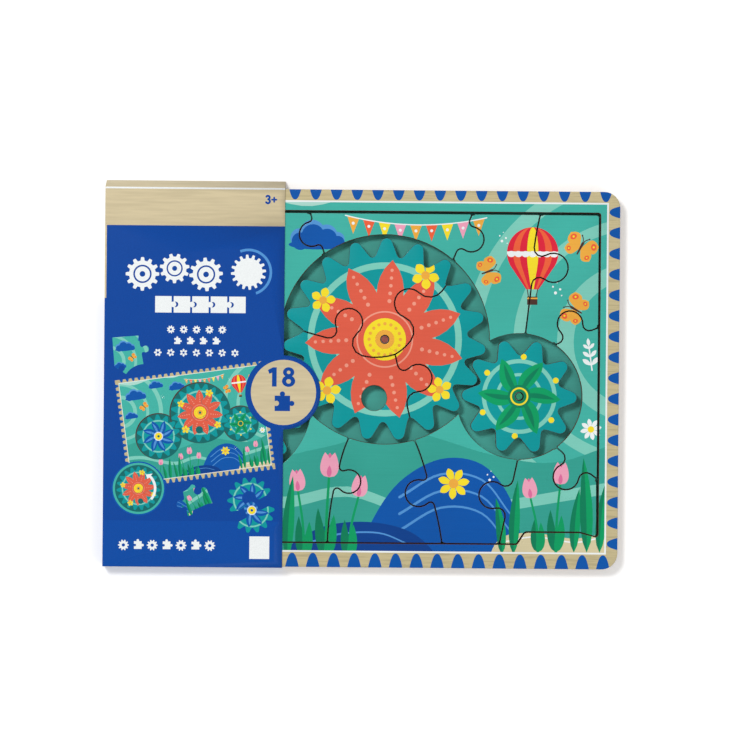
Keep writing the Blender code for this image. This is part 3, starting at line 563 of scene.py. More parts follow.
def garden_print():
    """The picture on the board: a garden under a breeze, from the tray's middle."""
    page = Picture()
    page.add("teal", box(-200, -150, 200, 150))
    for radius, width in ((56, 13), (92, 9), (128, 12)):
        page.add("mint", band(214, 30, radius, width, 80, 250))
    for radius, width in ((40, 10), (74, 8), (110, 11)):
        page.add("mint", band(-196, 60, radius, width, -100, 110))
    page.add("pale_mint", ground([(-200, 138), (-150, 128), (-90, 141), (-40, 134), (10, 150)], 160))
    page.add("deep_teal", ground([(-200, -34), (-150, -28), (-90, -62), (-30, -54), (30, -40), (100, -58),
                                  (150, -64), (200, -48)]))
    page.add("mint", ground([(-200, -62), (-150, -66), (-70, -92), (-10, -84), (60, -100), (200, -78)]))
    page.add("deep_teal", ground([(-200, -72), (-150, -75), (-70, -101), (-10, -92), (60, -108), (200, -87)]))
    page.draw(draw_cloud, (-36, 107, 44), (-150, 96, 58), (-92, 118, 40), (-168, 44, 36))
    draw_garland(page, (-14, 127), (96, 126), 6.5, 9, 13)
    draw_balloon(page, 132, 99, 20)
    page.draw(draw_butterfly, (169, 103, 25, 62), (166, 55, 24, 150), (97, 84, 22, 20), (-130, 66, 24, 130))
    page.draw(draw_seeds, (150, 68, 4), (108, 108, 3.4), (-78, 84, 4))
    draw_sprig(page, 179, 8, 21, 98)
    draw_flower(page, 178.5, -38, 8.5, 8, "white", "yellow", 12)
    hill = [(-6, -150), (8, -112), (30, -80), (62, -62), (94, -66), (116, -92), (126, -128), (128, -150)]
    page.add("royal", ground(hill))
    for drop in (12, 25, 38):
        page.add("sky", stroke(curve(hill[2:6]) - (0, drop), 2.0, 1.2))
    page.add("navy", ground([(-70, -150), (-52, -128), (-24, -114), (12, -112), (44, -122), (70, -150)]))
    page.add("sky", stroke(curve([(-40, -128), (-16, -121), (14, -120), (36, -128)]), 1.6, 1.0))
    draw_flower(page, 72, -81, 12.5, 7, "yellow", "orange", 8)
    draw_seeds(page, 100, -78, 3.4)
    page.draw(draw_tulip, (-44, -140, 52, -5, 15), (-27, -140, 63, 2, 17), (-9, -140, 48, 7, 15))
    page.add("sand", ground([(96, -150), (108, -124), (134, -119), (168, -123), (200, -115)]))
    page.add("white", stroke(curve([(112, -126), (136, -122), (168, -126), (196, -119)]), 1.1))
    page.draw(draw_tulip, (138, -134, 42, -6, 14), (152, -134, 53, 3, 15))
    page.draw(
        draw_blade,
        (-57, -140, 64, 9, 4), (-66, -140, 48, 8, -6), (110, -136, 44, 7.5, -5), (119, -136, 58, 8.5, 3),
        (166, -134, 50, 8, 4), (176, -134, 74, 10, -3), (186, -134, 56, 8, 5), (-182, -140, 66, 10, 4),
        (-170, -140, 50, 9, -4), (-158, -140, 36, 8, 5), (-84, -140, 60, 9, 4), (-96, -140, 44, 8, -5),
    )
    draw_flower(page, -128, -112, 13, 9, "yellow", "orange", 4)
    page.draw(draw_tulip, (-142, -140, 40, -5, 14), (-112, -140, 44, 6, 15))
    return page


def draw_scallops(page, edge, margin, first, corner, turn):
    """Scallops from the first one to the far corner, on an edge below the origin that is then turned."""
    pitch = math.copysign(mm("scallop_pitch"), corner - first)
    depth = margin - mm("scallop_gap")
    below_tip = depth * np.linspace(0, 1, 9) ** 2
    centimetre, bluntness = 10, 0.42
    half_width = mm("scallop_width") / 2 * (below_tip / centimetre) ** bluntness
    right_side = np.column_stack([half_width, depth - edge - below_tip])
    scallop = np.vstack([right_side, (right_side * (-1, 1))[:0:-1]])
    for x in np.arange(first, corner - pitch, pitch):
        page.add("royal", moved(scallop + (x, 0), turn=turn))


def tray_print():
    """Frame and board together: the garden, a white line, and scallops on bare wood."""
    low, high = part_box("tray_frame")
    half_width, half_height = np.subtract(high, low)[:2] / 2 / MM
    line = mm("white_line")
    right = half_width - mm("side_margin")
    top = half_height - mm("top_margin")
    bottom = mm("bottom_margin") - half_height
    in_row = half_width - mm("first_in_row")
    in_column = half_height - mm("first_in_column")
    page = Picture()
    page.add("bare_wood", box(-half_width, -half_height, half_width, half_height))
    page.add_clipped(garden_print(), -right, bottom, right, top)
    inside_line = box(line - right, line + bottom, right - line, top - line)
    page.add("white", box(-right, bottom, right, top), inside_line)
    page.draw(
        draw_scallops,
        (half_height, mm("bottom_margin"), in_row, -half_width, 0),
        (half_height, mm("top_margin"), -in_row, half_width, 180),
        (half_width, mm("side_margin"), in_column, -half_height, 90),
        (half_width, mm("side_margin"), -in_column, half_height, 270),
    )
    return page


def centre_gear_print():
    """A big coral flower on teal, with rings and small yellow flowers."""
    page = Picture()
    draw_rings(page, 0, 0, ("gear_teal", 90), ("mint", 57.5, 5.0), ("mint", 38, 3.5))
    petals = 11
    for index in range(petals):
        turn = 17 + index * 360 / petals
        page.add("coral", petal(0, 0, 62, 21, turn, 2.5, belly=1.35))
        for reach in (30, 36, 42, 48, 54):
            spot = moved([(reach, 2.5 * (reach / 62) ** 2)], turn=turn)[0]
            page.add("pale_coral", oval(*spot, 1.95 - 0.013 * reach))
    draw_rings(page, 0, 0, ("coral", 25), ("pale_coral", 21.5, 1.2), ("yellow", 16.5))
    for bearing in np.arange(0, 360, 22.5):
        page.add("orange", oval(*away(0, 0, 12.2, bearing), 1.3))
    page.add("orange", oval(0, 0, 7.5))
    for bearing, reach, radius in ((58, 59, 11), (148, 57, 10), (222, 60, 11), (318, 58, 10)):
        draw_flower(page, *away(0, 0, reach, bearing), radius, 5, "yellow", "orange", bearing)
    return page


def left_gear_print():
    """A blue pinwheel with a yellow middle."""
    page = Picture()
    draw_rings(page, 0, 0, ("gear_teal", 70), ("mint", 42, 4))
    for turn in range(0, 360, 45):
        page.add("royal", petal(0, 0, 43, 17, turn, 12, belly=1.3))
        page.add("sky", petal(0, 0, 38, 6, turn + 3, 10, belly=1.2))
    draw_rings(page, 0, 0, ("white", 11, 2), ("yellow", 9.5))
    return page


def right_gear_print():
    """A whirl of green leaves with yellow dots."""
    page = Picture()
    draw_rings(page, 0, 0, ("gear_teal", 55), ("mint", 27.5, 3.2), ("mint", 17, 2.4))
    for turn in range(12, 360, 60):
        page.add("leaf", petal(0, 0, 31, 13, turn, -9, belly=1.15))
        page.add("deep_leaf", petal(0, 0, 27, 4.0, turn - 2, -7, belly=1.1))
        page.add("yellow", oval(*away(0, 0, 31, turn + 12), 2.3))
    draw_rings(page, 0, 0, ("deep_leaf", 9), ("yellow", 6.4, 1.3))
    return page


def middle_of(node):
    """The middle of a node's box, flat and in millimetres."""
    return np.add(*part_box(node))[:2] / 2 / MM


def in_place(drawn, node):
    """A print moved to a node's middle."""
    page = Picture()
    page.add_picture(drawn, *middle_of(node))
    return page


def board_page():
    """The print of the frame and the board, in place."""
    return in_place(tray_print(), "tray_frame")


def gear_pages():
    """For each gear its peg's node, its pieces' nodes and its print, in place."""
    prints = (left_gear_print(), right_gear_print(), centre_gear_print())
    return [(peg, nodes, in_place(drawn, peg)) for (peg, _, nodes), drawn in zip(GEARS, prints)]


def draw_pieces(page, printed, nodes, middle, *place):
    """Pieces with their print, moved from their middle point to a place."""
    centred = Picture()
    centred.add_picture(printed, *-middle)
    for node in nodes:
        page.add_picture(centred, *place, mask=[outline - middle for outline in top_outlines(node)])


def whole_puzzle_print():
    """The whole puzzle as its sleeve shows it, from the tray's middle."""
    middle = middle_of("tray_frame")
    page = tray_print()
    pages = gear_pages()
    for peg, nodes, _ in pages:
        x, y = middle_of(peg) - middle
        reach = max(np.linalg.norm(loop - middle_of(peg), axis=1).max() for loop in top_outlines(nodes[0]))
        page.add("bark", oval(x, y, reach + 4.0))
        page.add("shade", oval(x + 1.2, y - 1.2, reach + 2.6))
    for _, nodes, printed in pages:
        draw_pieces(page, printed, nodes, middle)
    return page


# Printed meshes

def inside(points, outlines):
    """Which points lie inside outlines that may hold holes."""
    found = np.zeros(len(points), bool)
    corners = np.vstack(outlines)
    near = ((points > corners.min(axis=0)) & (points < corners.max(axis=0))).all(axis=1)
    crossings = np.zeros(near.sum(), int)
    px, py = points[near].T[..., None]
    for outline in outlines:
        x1, y1 = outline[:, 0], outline[:, 1]
        x2, y2 = np.roll(x1, -1), np.roll(y1, -1)
        spans = (y1 > py) != (y2 > py)
        height = np.where(y2 == y1, 1.0, y2 - y1)
        crossings += np.sum(spans & (px < x1 + (py - y1) * (x2 - x1) / height), axis=1)
    found[near] = crossings % 2 == 1
    return found


def triangle_sides(face):
    """A triangle's sides, each as the set of its two corners."""
    return [frozenset((face[i], face[i - 1])) for i in range(3)]


def filled(points, edges, walls, tolerance):
    """Triangles between the walls, which are the first edges; the others only divide them."""
    corners, lines, faces, origins, line_origins, _ = delaunay_2d_cdt(points, edges, [], 0, tolerance)
    wall_lines = {
        frozenset(line) for line, ids in zip(lines, line_origins) if min(ids, default=walls) < walls
    }
    across = {}
    for index, face in enumerate(faces):
        for line in triangle_sides(face):
            across.setdefault(line, []).append(index)
    kept = {}
    front = [(near[0], line in wall_lines) for line, near in across.items() if len(near) == 1]
    while front:
        index, is_inside = front.pop()
        if index not in kept:
            kept[index] = is_inside
            for line in triangle_sides(faces[index]):
                front += [(other, is_inside != (line in wall_lines)) for other in across[line]]
    inner = [face for index, face in enumerate(faces) if kept[index]]
    return np.array([tuple(corner) for corner in corners]), np.array(inner), origins


def meets(outlines, low, high):
    """Whether the box round outlines overlaps another box."""
    points = np.vstack(outlines)
    return (points.max(axis=0) > low).all() and (points.min(axis=0) < high).all()


def divided(outlines, picture, base):
    """Triangles of a flat print: corners, triangles and the ink of each triangle."""
    everything = np.vstack(outlines)
    low, high = everything.min(axis=0), everything.max(axis=0)
    shapes = [shape for shape in picture.shapes if meets(shape[1], low, high) and (
        not shape[2] or meets(shape[1], np.vstack(shape[2]).min(axis=0), np.vstack(shape[2]).max(axis=0))
    )]
    points = []
    edges = []
    masks = {id(loop): loop for _, _, mask in shapes for loop in mask}
    for loop in [*outlines, *(loop for _, loops, _ in shapes for loop in loops), *masks.values()]:
        first = len(points)
        points += [Vector(point) for point in loop]
        edges += [(first + i, first + (i + 1) % len(loop)) for i in range(len(loop))]
    corners, faces, _ = filled(points, edges, sum(len(outline) for outline in outlines), SAME_POINT)
    middles = corners[faces].mean(axis=1)
    found = np.full(len(faces), base, dtype=object)
    masked = {id(mask): inside(middles, mask) for _, _, mask in shapes if mask}
    for ink_name, loops, mask in shapes:
        found[inside(middles, loops) & masked.get(id(mask), True)] = ink_name
    return corners, faces, found


def top_outlines(node):
    """The outlines of a node's top face, in millimetres, with the material on their left."""
    work = bmesh.new()
    work.from_mesh(frame["nodes"][node].data)
    bmesh.ops.remove_doubles(work, verts=work.verts, dist=SAME_POINT * MM)
    top = max(vertex.co.z for vertex in work.verts)
    # A dictionary keeps the faces in the mesh's order, so that every run starts at the same corner
    faces = dict.fromkeys(
        face for face in work.faces if all(vertex.co.z > top - SAME_POINT * MM for vertex in face.verts)
    )
    following = {}
    for face in faces:
        for loop in face.loops:
            if sum(other in faces for other in loop.edge.link_faces) == 1:
                following[loop.vert] = loop.link_loop_next.vert
    outlines = []
    while following:
        start, vertex = following.popitem()
        outline = [start.co.xy / MM]
        while vertex is not start:
            if (vertex.co.xy / MM - outline[-1]).length > CLOSE_CORNERS:
                outline.append(vertex.co.xy / MM)
            vertex = following.pop(vertex)
        outlines.append(np.array([tuple(point) for point in outline]))
    work.free()
    return outlines


def to_next(outline):
    """From each corner of an outline to its next."""
    return np.roll(outline, -1, axis=0) - outline


def drawn_in(outline, distance):
    """An outline, and itself moved towards the material on its left.

    Burrs are left out, and the flatter corner of each short side that would turn round.
    """
    while True:
        side = to_next(outline)
        ahead = side / np.linalg.norm(side, axis=1)[:, None]
        left = left_of(ahead)
        straight = np.sum(left * np.roll(left, 1, axis=0), axis=1)
        mitre = (left + np.roll(left, 1, axis=0)) / (1 + straight)[:, None].clip(MITRE_LIMIT)
        inner = outline + mitre * distance
        turned = np.sum(to_next(inner) * ahead, axis=1) < SLACK
        burr = int(straight.argmin())
        if straight[burr] < BURR:
            outline = np.delete(outline, burr, axis=0)
        elif turned.any():
            first = int(turned.argmax())
            second = (first + 1) % len(outline)
            outline = np.delete(outline, first if straight[first] > straight[second] else second, axis=0)
        else:
            return outline, inner


def carried_out(points, inner, outer):
    """Points on inset outlines, moved to the same place along the outer ones.

    The second result says which of them lie on the first outline.
    """
    side = np.vstack([to_next(loop) for loop in inner])
    outer_side = np.vstack([to_next(loop) for loop in outer])
    offset = points[:, None] - np.vstack(inner)
    along = (np.sum(offset * side, axis=2) / np.sum(side * side, axis=1)).clip(0, 1)
    best = np.linalg.norm(offset - along[..., None] * side, axis=2).argmin(axis=1)
    part = along[np.arange(len(points)), best][:, None]
    return np.vstack(outer)[best] + part * outer_side[best], best < len(inner[0])


class Shell:
    """Corners and faces of one piece, gathered face by face with their finishes."""

    def __init__(self):
        self.corners = []
        self.faces = []
        self.finishes = []
        self.smooth = []

    def add_level(self, names, flat, height):
        """Flat corners in millimetres at a height in metres; returns each one's index by its name."""
        first = len(self.corners)
        self.corners += [(x * MM, y * MM, height) for x, y in flat]
        return {name: first + i for i, name in enumerate(names)}

    def add_face(self, face, finish_name, smooth=False):
        """One face of a finish."""
        self.faces.append(face)
        self.finishes.append(finish_name)
        self.smooth.append(smooth)

    def add_print(self, corners, faces, found, height):
        """A flat print; returns its border as edges with inks, and each border corner's index."""
        used = np.unique(faces)
        index = self.add_level(used.tolist(), corners[used], height)
        sides = {}
        for face, ink_name in zip(faces.tolist(), found):
            self.add_face([index[corner] for corner in face], ink_name)
            for i in range(3):
                sides[face[i], face[(i + 1) % 3]] = ink_name
        return {edge: name for edge, name in sides.items() if edge[::-1] not in sides}, index

    def add_wall(self, border, upper, lower, finish_name=None):
        """Quads between two levels, in the border's inks or one finish."""
        for (start, end), ink_name in border.items():
            self.add_face((upper[start], lower[start], lower[end], upper[end]), finish_name or ink_name, True)

    def build(self, name, stock):
        """The piece as an object with a material for each finish."""
        mesh = bpy.data.meshes.new(name)
        mesh.from_pydata(self.corners, [], self.faces)
        slots = {finish_name: i for i, finish_name in enumerate(dict.fromkeys(self.finishes))}
        for finish_name in slots:
            mesh.materials.append(finish(finish_name, stock))
        mesh.polygons.foreach_set("material_index", [slots[finish_name] for finish_name in self.finishes])
        mesh.polygons.foreach_set("use_smooth", self.smooth)
        mesh.set_sharp_from_angle(angle=SHARP_ANGLE)
        mesh.validate()
        piece = bpy.data.objects.new(name, mesh)
        bpy.context.scene.collection.objects.link(piece)
        return piece


def printed_piece(
    node, picture, base, edge_finish="burnt_ply", under_finish="plywood", round_name="edge_round"
):
    """A piece on its node's own outline: a printed top, a rounded upper edge and cut walls.

    The walls of holes are burnt by the laser; the wall round the outside has its own finish.
    """
    low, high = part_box(node)
    edge_round = getattr(sizes(), round_name)
    outlines = sorted(top_outlines(node), key=lambda outline: -np.ptp(outline[:, 0]))
    outer, inner = zip(*[drawn_in(outline, edge_round / MM) for outline in outlines])
    corners, faces, found = divided(inner, picture, base)
    shell = Shell()
    border, upper = shell.add_print(corners, faces, found, high.z)
    border_corners = sorted({corner for edge in border for corner in edge})
    flat_inner = corners[border_corners]
    flat_outer, around = carried_out(flat_inner, inner, outer)
    outside = dict(zip(border_corners, around))
    runs = [
        (finish_name, {edge: name for edge, name in border.items() if outside[edge[0]] == is_outside})
        for finish_name, is_outside in ((edge_finish, True), ("burnt_ply", False))
    ]
    levels = [(out, high.z - edge_round * down, True) for out, down in ROUNDING]
    levels += [(1, low.z + edge_round / 2, False), (0.5, low.z, False)]
    for number, (out, height, rounded) in enumerate(levels):
        flat = flat_inner + out * (flat_outer - flat_inner)
        lower = shell.add_level(border_corners, flat, height)
        for finish_name, walls in runs:
            shown = ROUNDING_FINISHES.get(finish_name) if rounded else finish_name
            shell.add_wall(walls, upper, lower, shown if number else None)
        upper = lower
    add_sole(shell, border, flat, upper, under_finish)
    piece = shell.build("finished_" + node, "wood")
    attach(piece, body_of(frame["nodes"][node])[0])
    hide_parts(node)
    return piece


def add_sole(shell, border, flat, lowest, finish_name):
    """Close a shell's underside between its lowest corners."""
    order = list(lowest.values())
    first = order[0]
    edges = [(lowest[start] - first, lowest[end] - first) for start, end in border]
    _, faces, origins = filled([Vector(point) for point in flat], edges, len(edges), SAME_POINT / 100)
    for face in faces:
        shell.add_face([order[origins[i][0]] for i in face[::-1]], finish_name)


# Materials

def linear(colour):
    """A display colour as scene-linear red, green, blue and alpha."""
    return [c / 12.92 if c <= 0.04045 else ((c + 0.055) / 1.055) ** 2.4 for c in colour] + [1.0]


def shaded(colour, factor):
    """A linear colour made darker or lighter."""
    return [min(1.0, channel * factor) for channel in colour[:3]] + [1.0]


def feed(node, inputs):
    """Give a shader node's inputs their values, or link them to other nodes' outputs."""
    for key, value in inputs.items():
        if isinstance(value, bpy.types.NodeSocket):
            node.id_data.links.new(value, node.inputs[key])
        else:
            node.inputs[key].default_value = value


def add_node(tree, kind, inputs, output=0, **settings):
    """A new shader node with its settings and inputs; returns one of its outputs."""
    node = tree.nodes.new(kind)
    for key, value in settings.items():
        setattr(node, key, value)
    feed(node, inputs)
    return node.outputs[output]


def new_material(name):
    """An empty procedural material, its shader and its object coordinates."""
    material = bpy.data.materials.new(name)
    material.use_nodes = True
    tree = material.node_tree
    return material, tree.nodes["Principled BSDF"], add_node(tree, "ShaderNodeTexCoord", {}, "Object")


def noise(place, scale, detail, stretch=(1, 1, 1)):
    """A noise pattern of so many features a metre, stretched along the axes."""
    tree = place.id_data
    mapped = add_node(tree, "ShaderNodeMapping", {"Vector": place, "Scale": stretch})
    return add_node(tree, "ShaderNodeTexNoise", {"Vector": mapped, "Scale": scale, "Detail": detail})


def ramp(source, *stops):
    """A colour for each value of a source."""
    blended = add_node(source.id_data, "ShaderNodeValToRGB", {"Fac": source})
    elements = blended.node.color_ramp.elements
    while len(elements) < len(stops):
        elements.new(0.5)
    for element, (position, colour) in zip(elements, stops):
        element.position = position
        element.color = colour
    return blended


def toned(source, colour, *stops):
    """A colour made darker or lighter by a pattern; each stop is a position and a factor."""
    return ramp(source, *((position, shaded(colour, factor)) for position, factor in stops))


def spread(source, low, high):
    """A pattern's values spread between two numbers."""
    return add_node(source.id_data, "ShaderNodeMapRange", {
        "Value": source, "From Min": 0.3, "From Max": 0.7, "To Min": low, "To Max": high,
    })


def multiplied(first, second):
    """One colour laid over another."""
    inputs = {"Factor": 1.0, "A": first, "B": second}
    return add_node(first.id_data, "ShaderNodeMix", inputs, "Result", data_type="RGBA", blend_type="MULTIPLY")


def roughened(shader, colour, roughness, source, strength, distance):
    """Give a shader its colour, its roughness and small relief."""
    relief = {"Height": source, "Strength": strength, "Distance": distance}
    bump = add_node(shader.id_data, "ShaderNodeBump", relief)
    feed(shader, {"Base Color": colour, "Roughness": roughness, "Normal": bump})


def veiled(colour, pattern):
    """A colour with a pattern just showing through it."""
    return multiplied(colour, ramp(pattern, (0.25, (0.94, 0.94, 0.94, 1)), (0.75, (1, 1, 1, 1))))


def varnished(shader, weight, roughness):
    """A thin clear coat that mirrors little of the sky."""
    feed(shader, {
        "Specular IOR Level": 0.1, "Coat Weight": weight, "Coat IOR": 1.3, "Coat Roughness": roughness,
    })


def printed_wood(name, colour):
    """Ink on wood under varnish: uneven ink, and the grain just showing through."""
    material, shader, place = new_material(name)
    tone = toned(noise(place, 14, 2), colour, (0.3, 0.93), (0.7, 1.05))
    grain = noise(place, 60, 4, (0.5, 14, 4))
    roughened(shader, veiled(tone, grain), spread(grain, 0.30, 0.44), grain, 0.18, 0.00008)
    varnished(shader, sizes().varnish, 0.12)
    return material


def printed_card(name, colour, scale=1500, stretch=(1, 1, 1)):
    """Ink on coated card, with a faint pattern in the ink and a slight wave in the sheet."""
    material, shader, place = new_material(name)
    tone = toned(noise(place, scale, 4, stretch), colour, (0.35, 0.93), (0.65, 1.05))
    wave = noise(place, 22, 2)
    roughened(shader, tone, spread(wave, 0.26, 0.36), wave, 0.2, 0.0008)
    varnished(shader, sizes().card_gloss, 0.10)
    return material


def bare_wood(name, colour):
    """Pale varnished wood with long grain."""
    material, shader, place = new_material(name)
    grain = noise(place, 40, 5, (1, 18, 5))
    pores = noise(place, 420, 2, (0.25, 3, 1))
    tone = toned(grain, colour, (0.30, 0.80), (0.48, 1), (0.62, 1.06), (0.75, 0.93))
    roughened(shader, veiled(tone, pores), spread(grain, 0.32, 0.46), grain, 0.25, 0.00012)
    varnished(shader, sizes().varnish, 0.14)
    return material


def sawn_plywood(name, colour):
    """A cut edge of plywood: light and dark plies with end grain."""
    material, shader, place = new_material(name)
    low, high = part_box("tray_frame")
    tree = material.node_tree
    height = add_node(tree, "ShaderNodeSeparateXYZ", {"Vector": place}, "Z")
    depth = add_node(tree, "ShaderNodeMapRange", {"Value": height, "From Min": low.z, "From Max": high.z})
    plies = 5
    blur = 0.015
    stops = []
    for ply in range(plies):
        factor = 0.74 if ply % 2 else 1.10
        stops += [(ply / plies + blur, factor), ((ply + 1) / plies - blur, factor)]
    fibres = noise(place, 260, 3, (1, 1, 3))
    mottled = ramp(fibres, (0.3, (0.72, 0.70, 0.66, 1)), (0.65, (1, 1, 1, 1)))
    tone = multiplied(toned(depth, colour, *stops), mottled)
    roughened(shader, tone, spread(fibres, 0.62, 0.82), fibres, 0.5, 0.0003)
    return material


def fibrous(name, colour, scale, contrast, stretch, roughness):
    """Hardboard, bare card or stained peg: short fibres in three tones."""
    material, shader, place = new_material(name)
    fibres = noise(place, scale, 5, stretch)
    tone = toned(fibres, colour, (0.30, 1 - contrast), (0.5, 1), (0.72, 1 + contrast / 2))
    patches = noise(place, scale / 9, 2)
    roughened(shader, veiled(tone, patches), spread(fibres, roughness, roughness + 0.15), fibres, 0.4, 0.0002)
    return material


def finish(finish_name, stock):
    """The material of a finish on wood or card, made once."""
    name = finish_name + "_on_" + stock
    made = bpy.data.materials.get(name)
    if made:
        return made
    colour = linear(getattr(inks(), finish_name))
    if finish_name in ("plywood", "burnt_ply"):
        return sawn_plywood(name, colour)
    if finish_name == "bare_wood":
        return bare_wood(name, colour)
    if finish_name == "hardboard":
        return fibrous(name, colour, 500, 0.35, (1, 1, 1), 0.6)
    if finish_name == "card_core":
        return fibrous(name, colour, 900, 0.18, (1, 2, 1), 0.7)
    if stock == "peg":
        return fibrous(name, colour, 700, 0.4, (1, 1, 0.15), 0.4)
    if finish_name == "sleeve_tan":
        return printed_card(name, colour, 32, (1, 14, 4))
    if stock == "card":
        return printed_card(name, colour)
    return printed_wood(name, colour)


# Card sleeve

def draw_spin_inset(page, x, y, radius):
    """A round view of the centre gear with an arrow that turns round it."""
    draw_rings(page, x, y, ("royal", radius), ("teal", 0.95 * radius), ("shade", 0.87 * radius))
    peg, nodes, printed = gear_pages()[-1]
    shown_radius = 97
    draw_pieces(page, printed, nodes, middle_of(peg), x, y, 20, radius / shown_radius)
    page.add("white", band(x, y, 0.62 * radius, 0.09 * radius, -40, 48))
    page.add("white", moved([(0.56, 0.14), (0.76, -0.02), (0.48, -0.02)], x, y, 48, radius))


def draw_digits(page, x, y, height):
    """The number of pieces, eighteen, centred on a point."""
    one = [
        (-0.60, -0.5), (-0.36, -0.5), (-0.36, 0.5), (-0.55, 0.5), (-0.82, 0.36), (-0.74, 0.16), (-0.60, 0.22),
    ]
    page.add("sleeve_blue", moved(one, x, y, 0, height))
    for ink_name, rise, width, depth in (
        ("sleeve_blue", -0.21, 0.345, 0.30), ("sleeve_blue", 0.25, 0.295, 0.26),
        ("sleeve_tan", -0.225, 0.125, 0.115), ("sleeve_tan", 0.245, 0.095, 0.09),
    ):
        page.add(ink_name, oval(x + 0.26 * height, y + rise * height, width * height, depth * height))


def draw_age(page, x, y, height):
    """A small three and a plus sign."""
    upper_bow = arc(x, y + 0.25 * height, 0.20 * height, 150, -80)
    lower_bow = arc(x, y - 0.19 * height, 0.235 * height, 80, -150)
    bars = [moved([(-0.26, 0), (0, 0), (0.26, 0)], x + 0.74 * height, y, turn, height) for turn in (0, 90)]
    for line, width in ((upper_bow, 0.24), (lower_bow, 0.24), (bars[0], 0.20), (bars[1], 0.20)):
        page.add("sleeve_blue", stroke(line, width * height))


def sleeve_print(left, bottom, top, mouth, disc_y, disc_radius):
    """The front of the card sleeve, from the tray's middle."""
    page = Picture()
    page.add("sleeve_tan", box(left - 10, top - 30, mouth, top + 10))
    # Painted light: a band of lighter blue along the bottom, for the light on the card below its fold
    page.add("sleeve_low_blue", box(left - 10, bottom - 10, mouth, bottom + 36))
    page.add("sleeve_tan", box(left - 10, 61, left + 1.4, top))
    # Painted highlight: a white strip along the top fold, where light catches the fold
    page.add("white", box(left, top - 1.5, mouth, top + 10))
    draw_age(page, -74.4, 138.6, 6.6)
    for x, y, radius, teeth, turn in (
        (-171.5, 80, 13.0, 12, 0), (-146.5, 84.5, 11.5, 11, 8), (-122, 80, 13.0, 12, 4),
    ):
        page.add("white", wheel(x, y, radius, teeth, 0.2 * radius, turn))
        draw_rings(page, x, y, ("sleeve_blue", 0.50 * radius, 0.10 * radius), ("sleeve_blue", 0.17 * radius))
    page.add("white", wheel(-89, 82, 13.6, 16, 2.72, 5))
    page.add("sky", band(-89, 82, 17.4, 2.0, -70, 112))
    for place in range(5):
        page.add("white", jigsaw(-155 + 14.4 * place, 56.5, 12.8, (place < 4, 0, -(place > 0), 0)))
    for x in range(-149, -108, 10):
        page.add("white", wheel(x, 37, 3.1, 9, 0.8))
        page.add("sleeve_blue", oval(x, 37, 0.9))
    for x in range(-144, -113, 10):
        page.add("white", jigsaw(x, 28, 4.6))
    for place in range(7):
        draw_flower(page, -159 + 10 * place, 19, 3.1, 6, "white", "sleeve_blue", 15 * place)
    page.add_picture(whole_puzzle_print(), -129.5, -37, 8.0, 0.2875)
    draw_spin_inset(page, -173.2, -86.9, 21)
    board = board_page()
    left_gear = gear_pages()[0][2]
    for node, printed, *place in (
        ("top_left_corner_piece", board, -179.5, 17, 5, 0.27),
        ("bottom_right_corner_piece", board, -131, -95, 24, 0.29),
        ("left_gear_crescent_piece", left_gear, -88.5, -89, 20, 0.30),
        ("left_gear_hub_piece", left_gear, -82, -108, 20, 0.30),
    ):
        draw_pieces(page, printed, [node], middle_of(node), *place)
    page.add("white", box(-86.5, -141, -71, -123.5))
    for place in range(7):
        x = -184.5 + 11.2 * place
        if place % 2:
            page.add("white", jigsaw(x, -131, 6.0))
        else:
            page.add("white", wheel(x, -131, 4.2, 10, 1.0))
            # The wheels' holes in the lower band take its painted lighter blue
            page.add("sleeve_low_blue", oval(x, -131, 1.3))
    draw_rings(page, mouth, disc_y, ("sleeve_blue", disc_radius + 1), ("sleeve_tan", disc_radius - 3.4))
    draw_digits(page, mouth, disc_y + 12, 15)
    page.add("sleeve_blue", jigsaw(mouth - 0.8, disc_y - 8.5, 12))
    return page


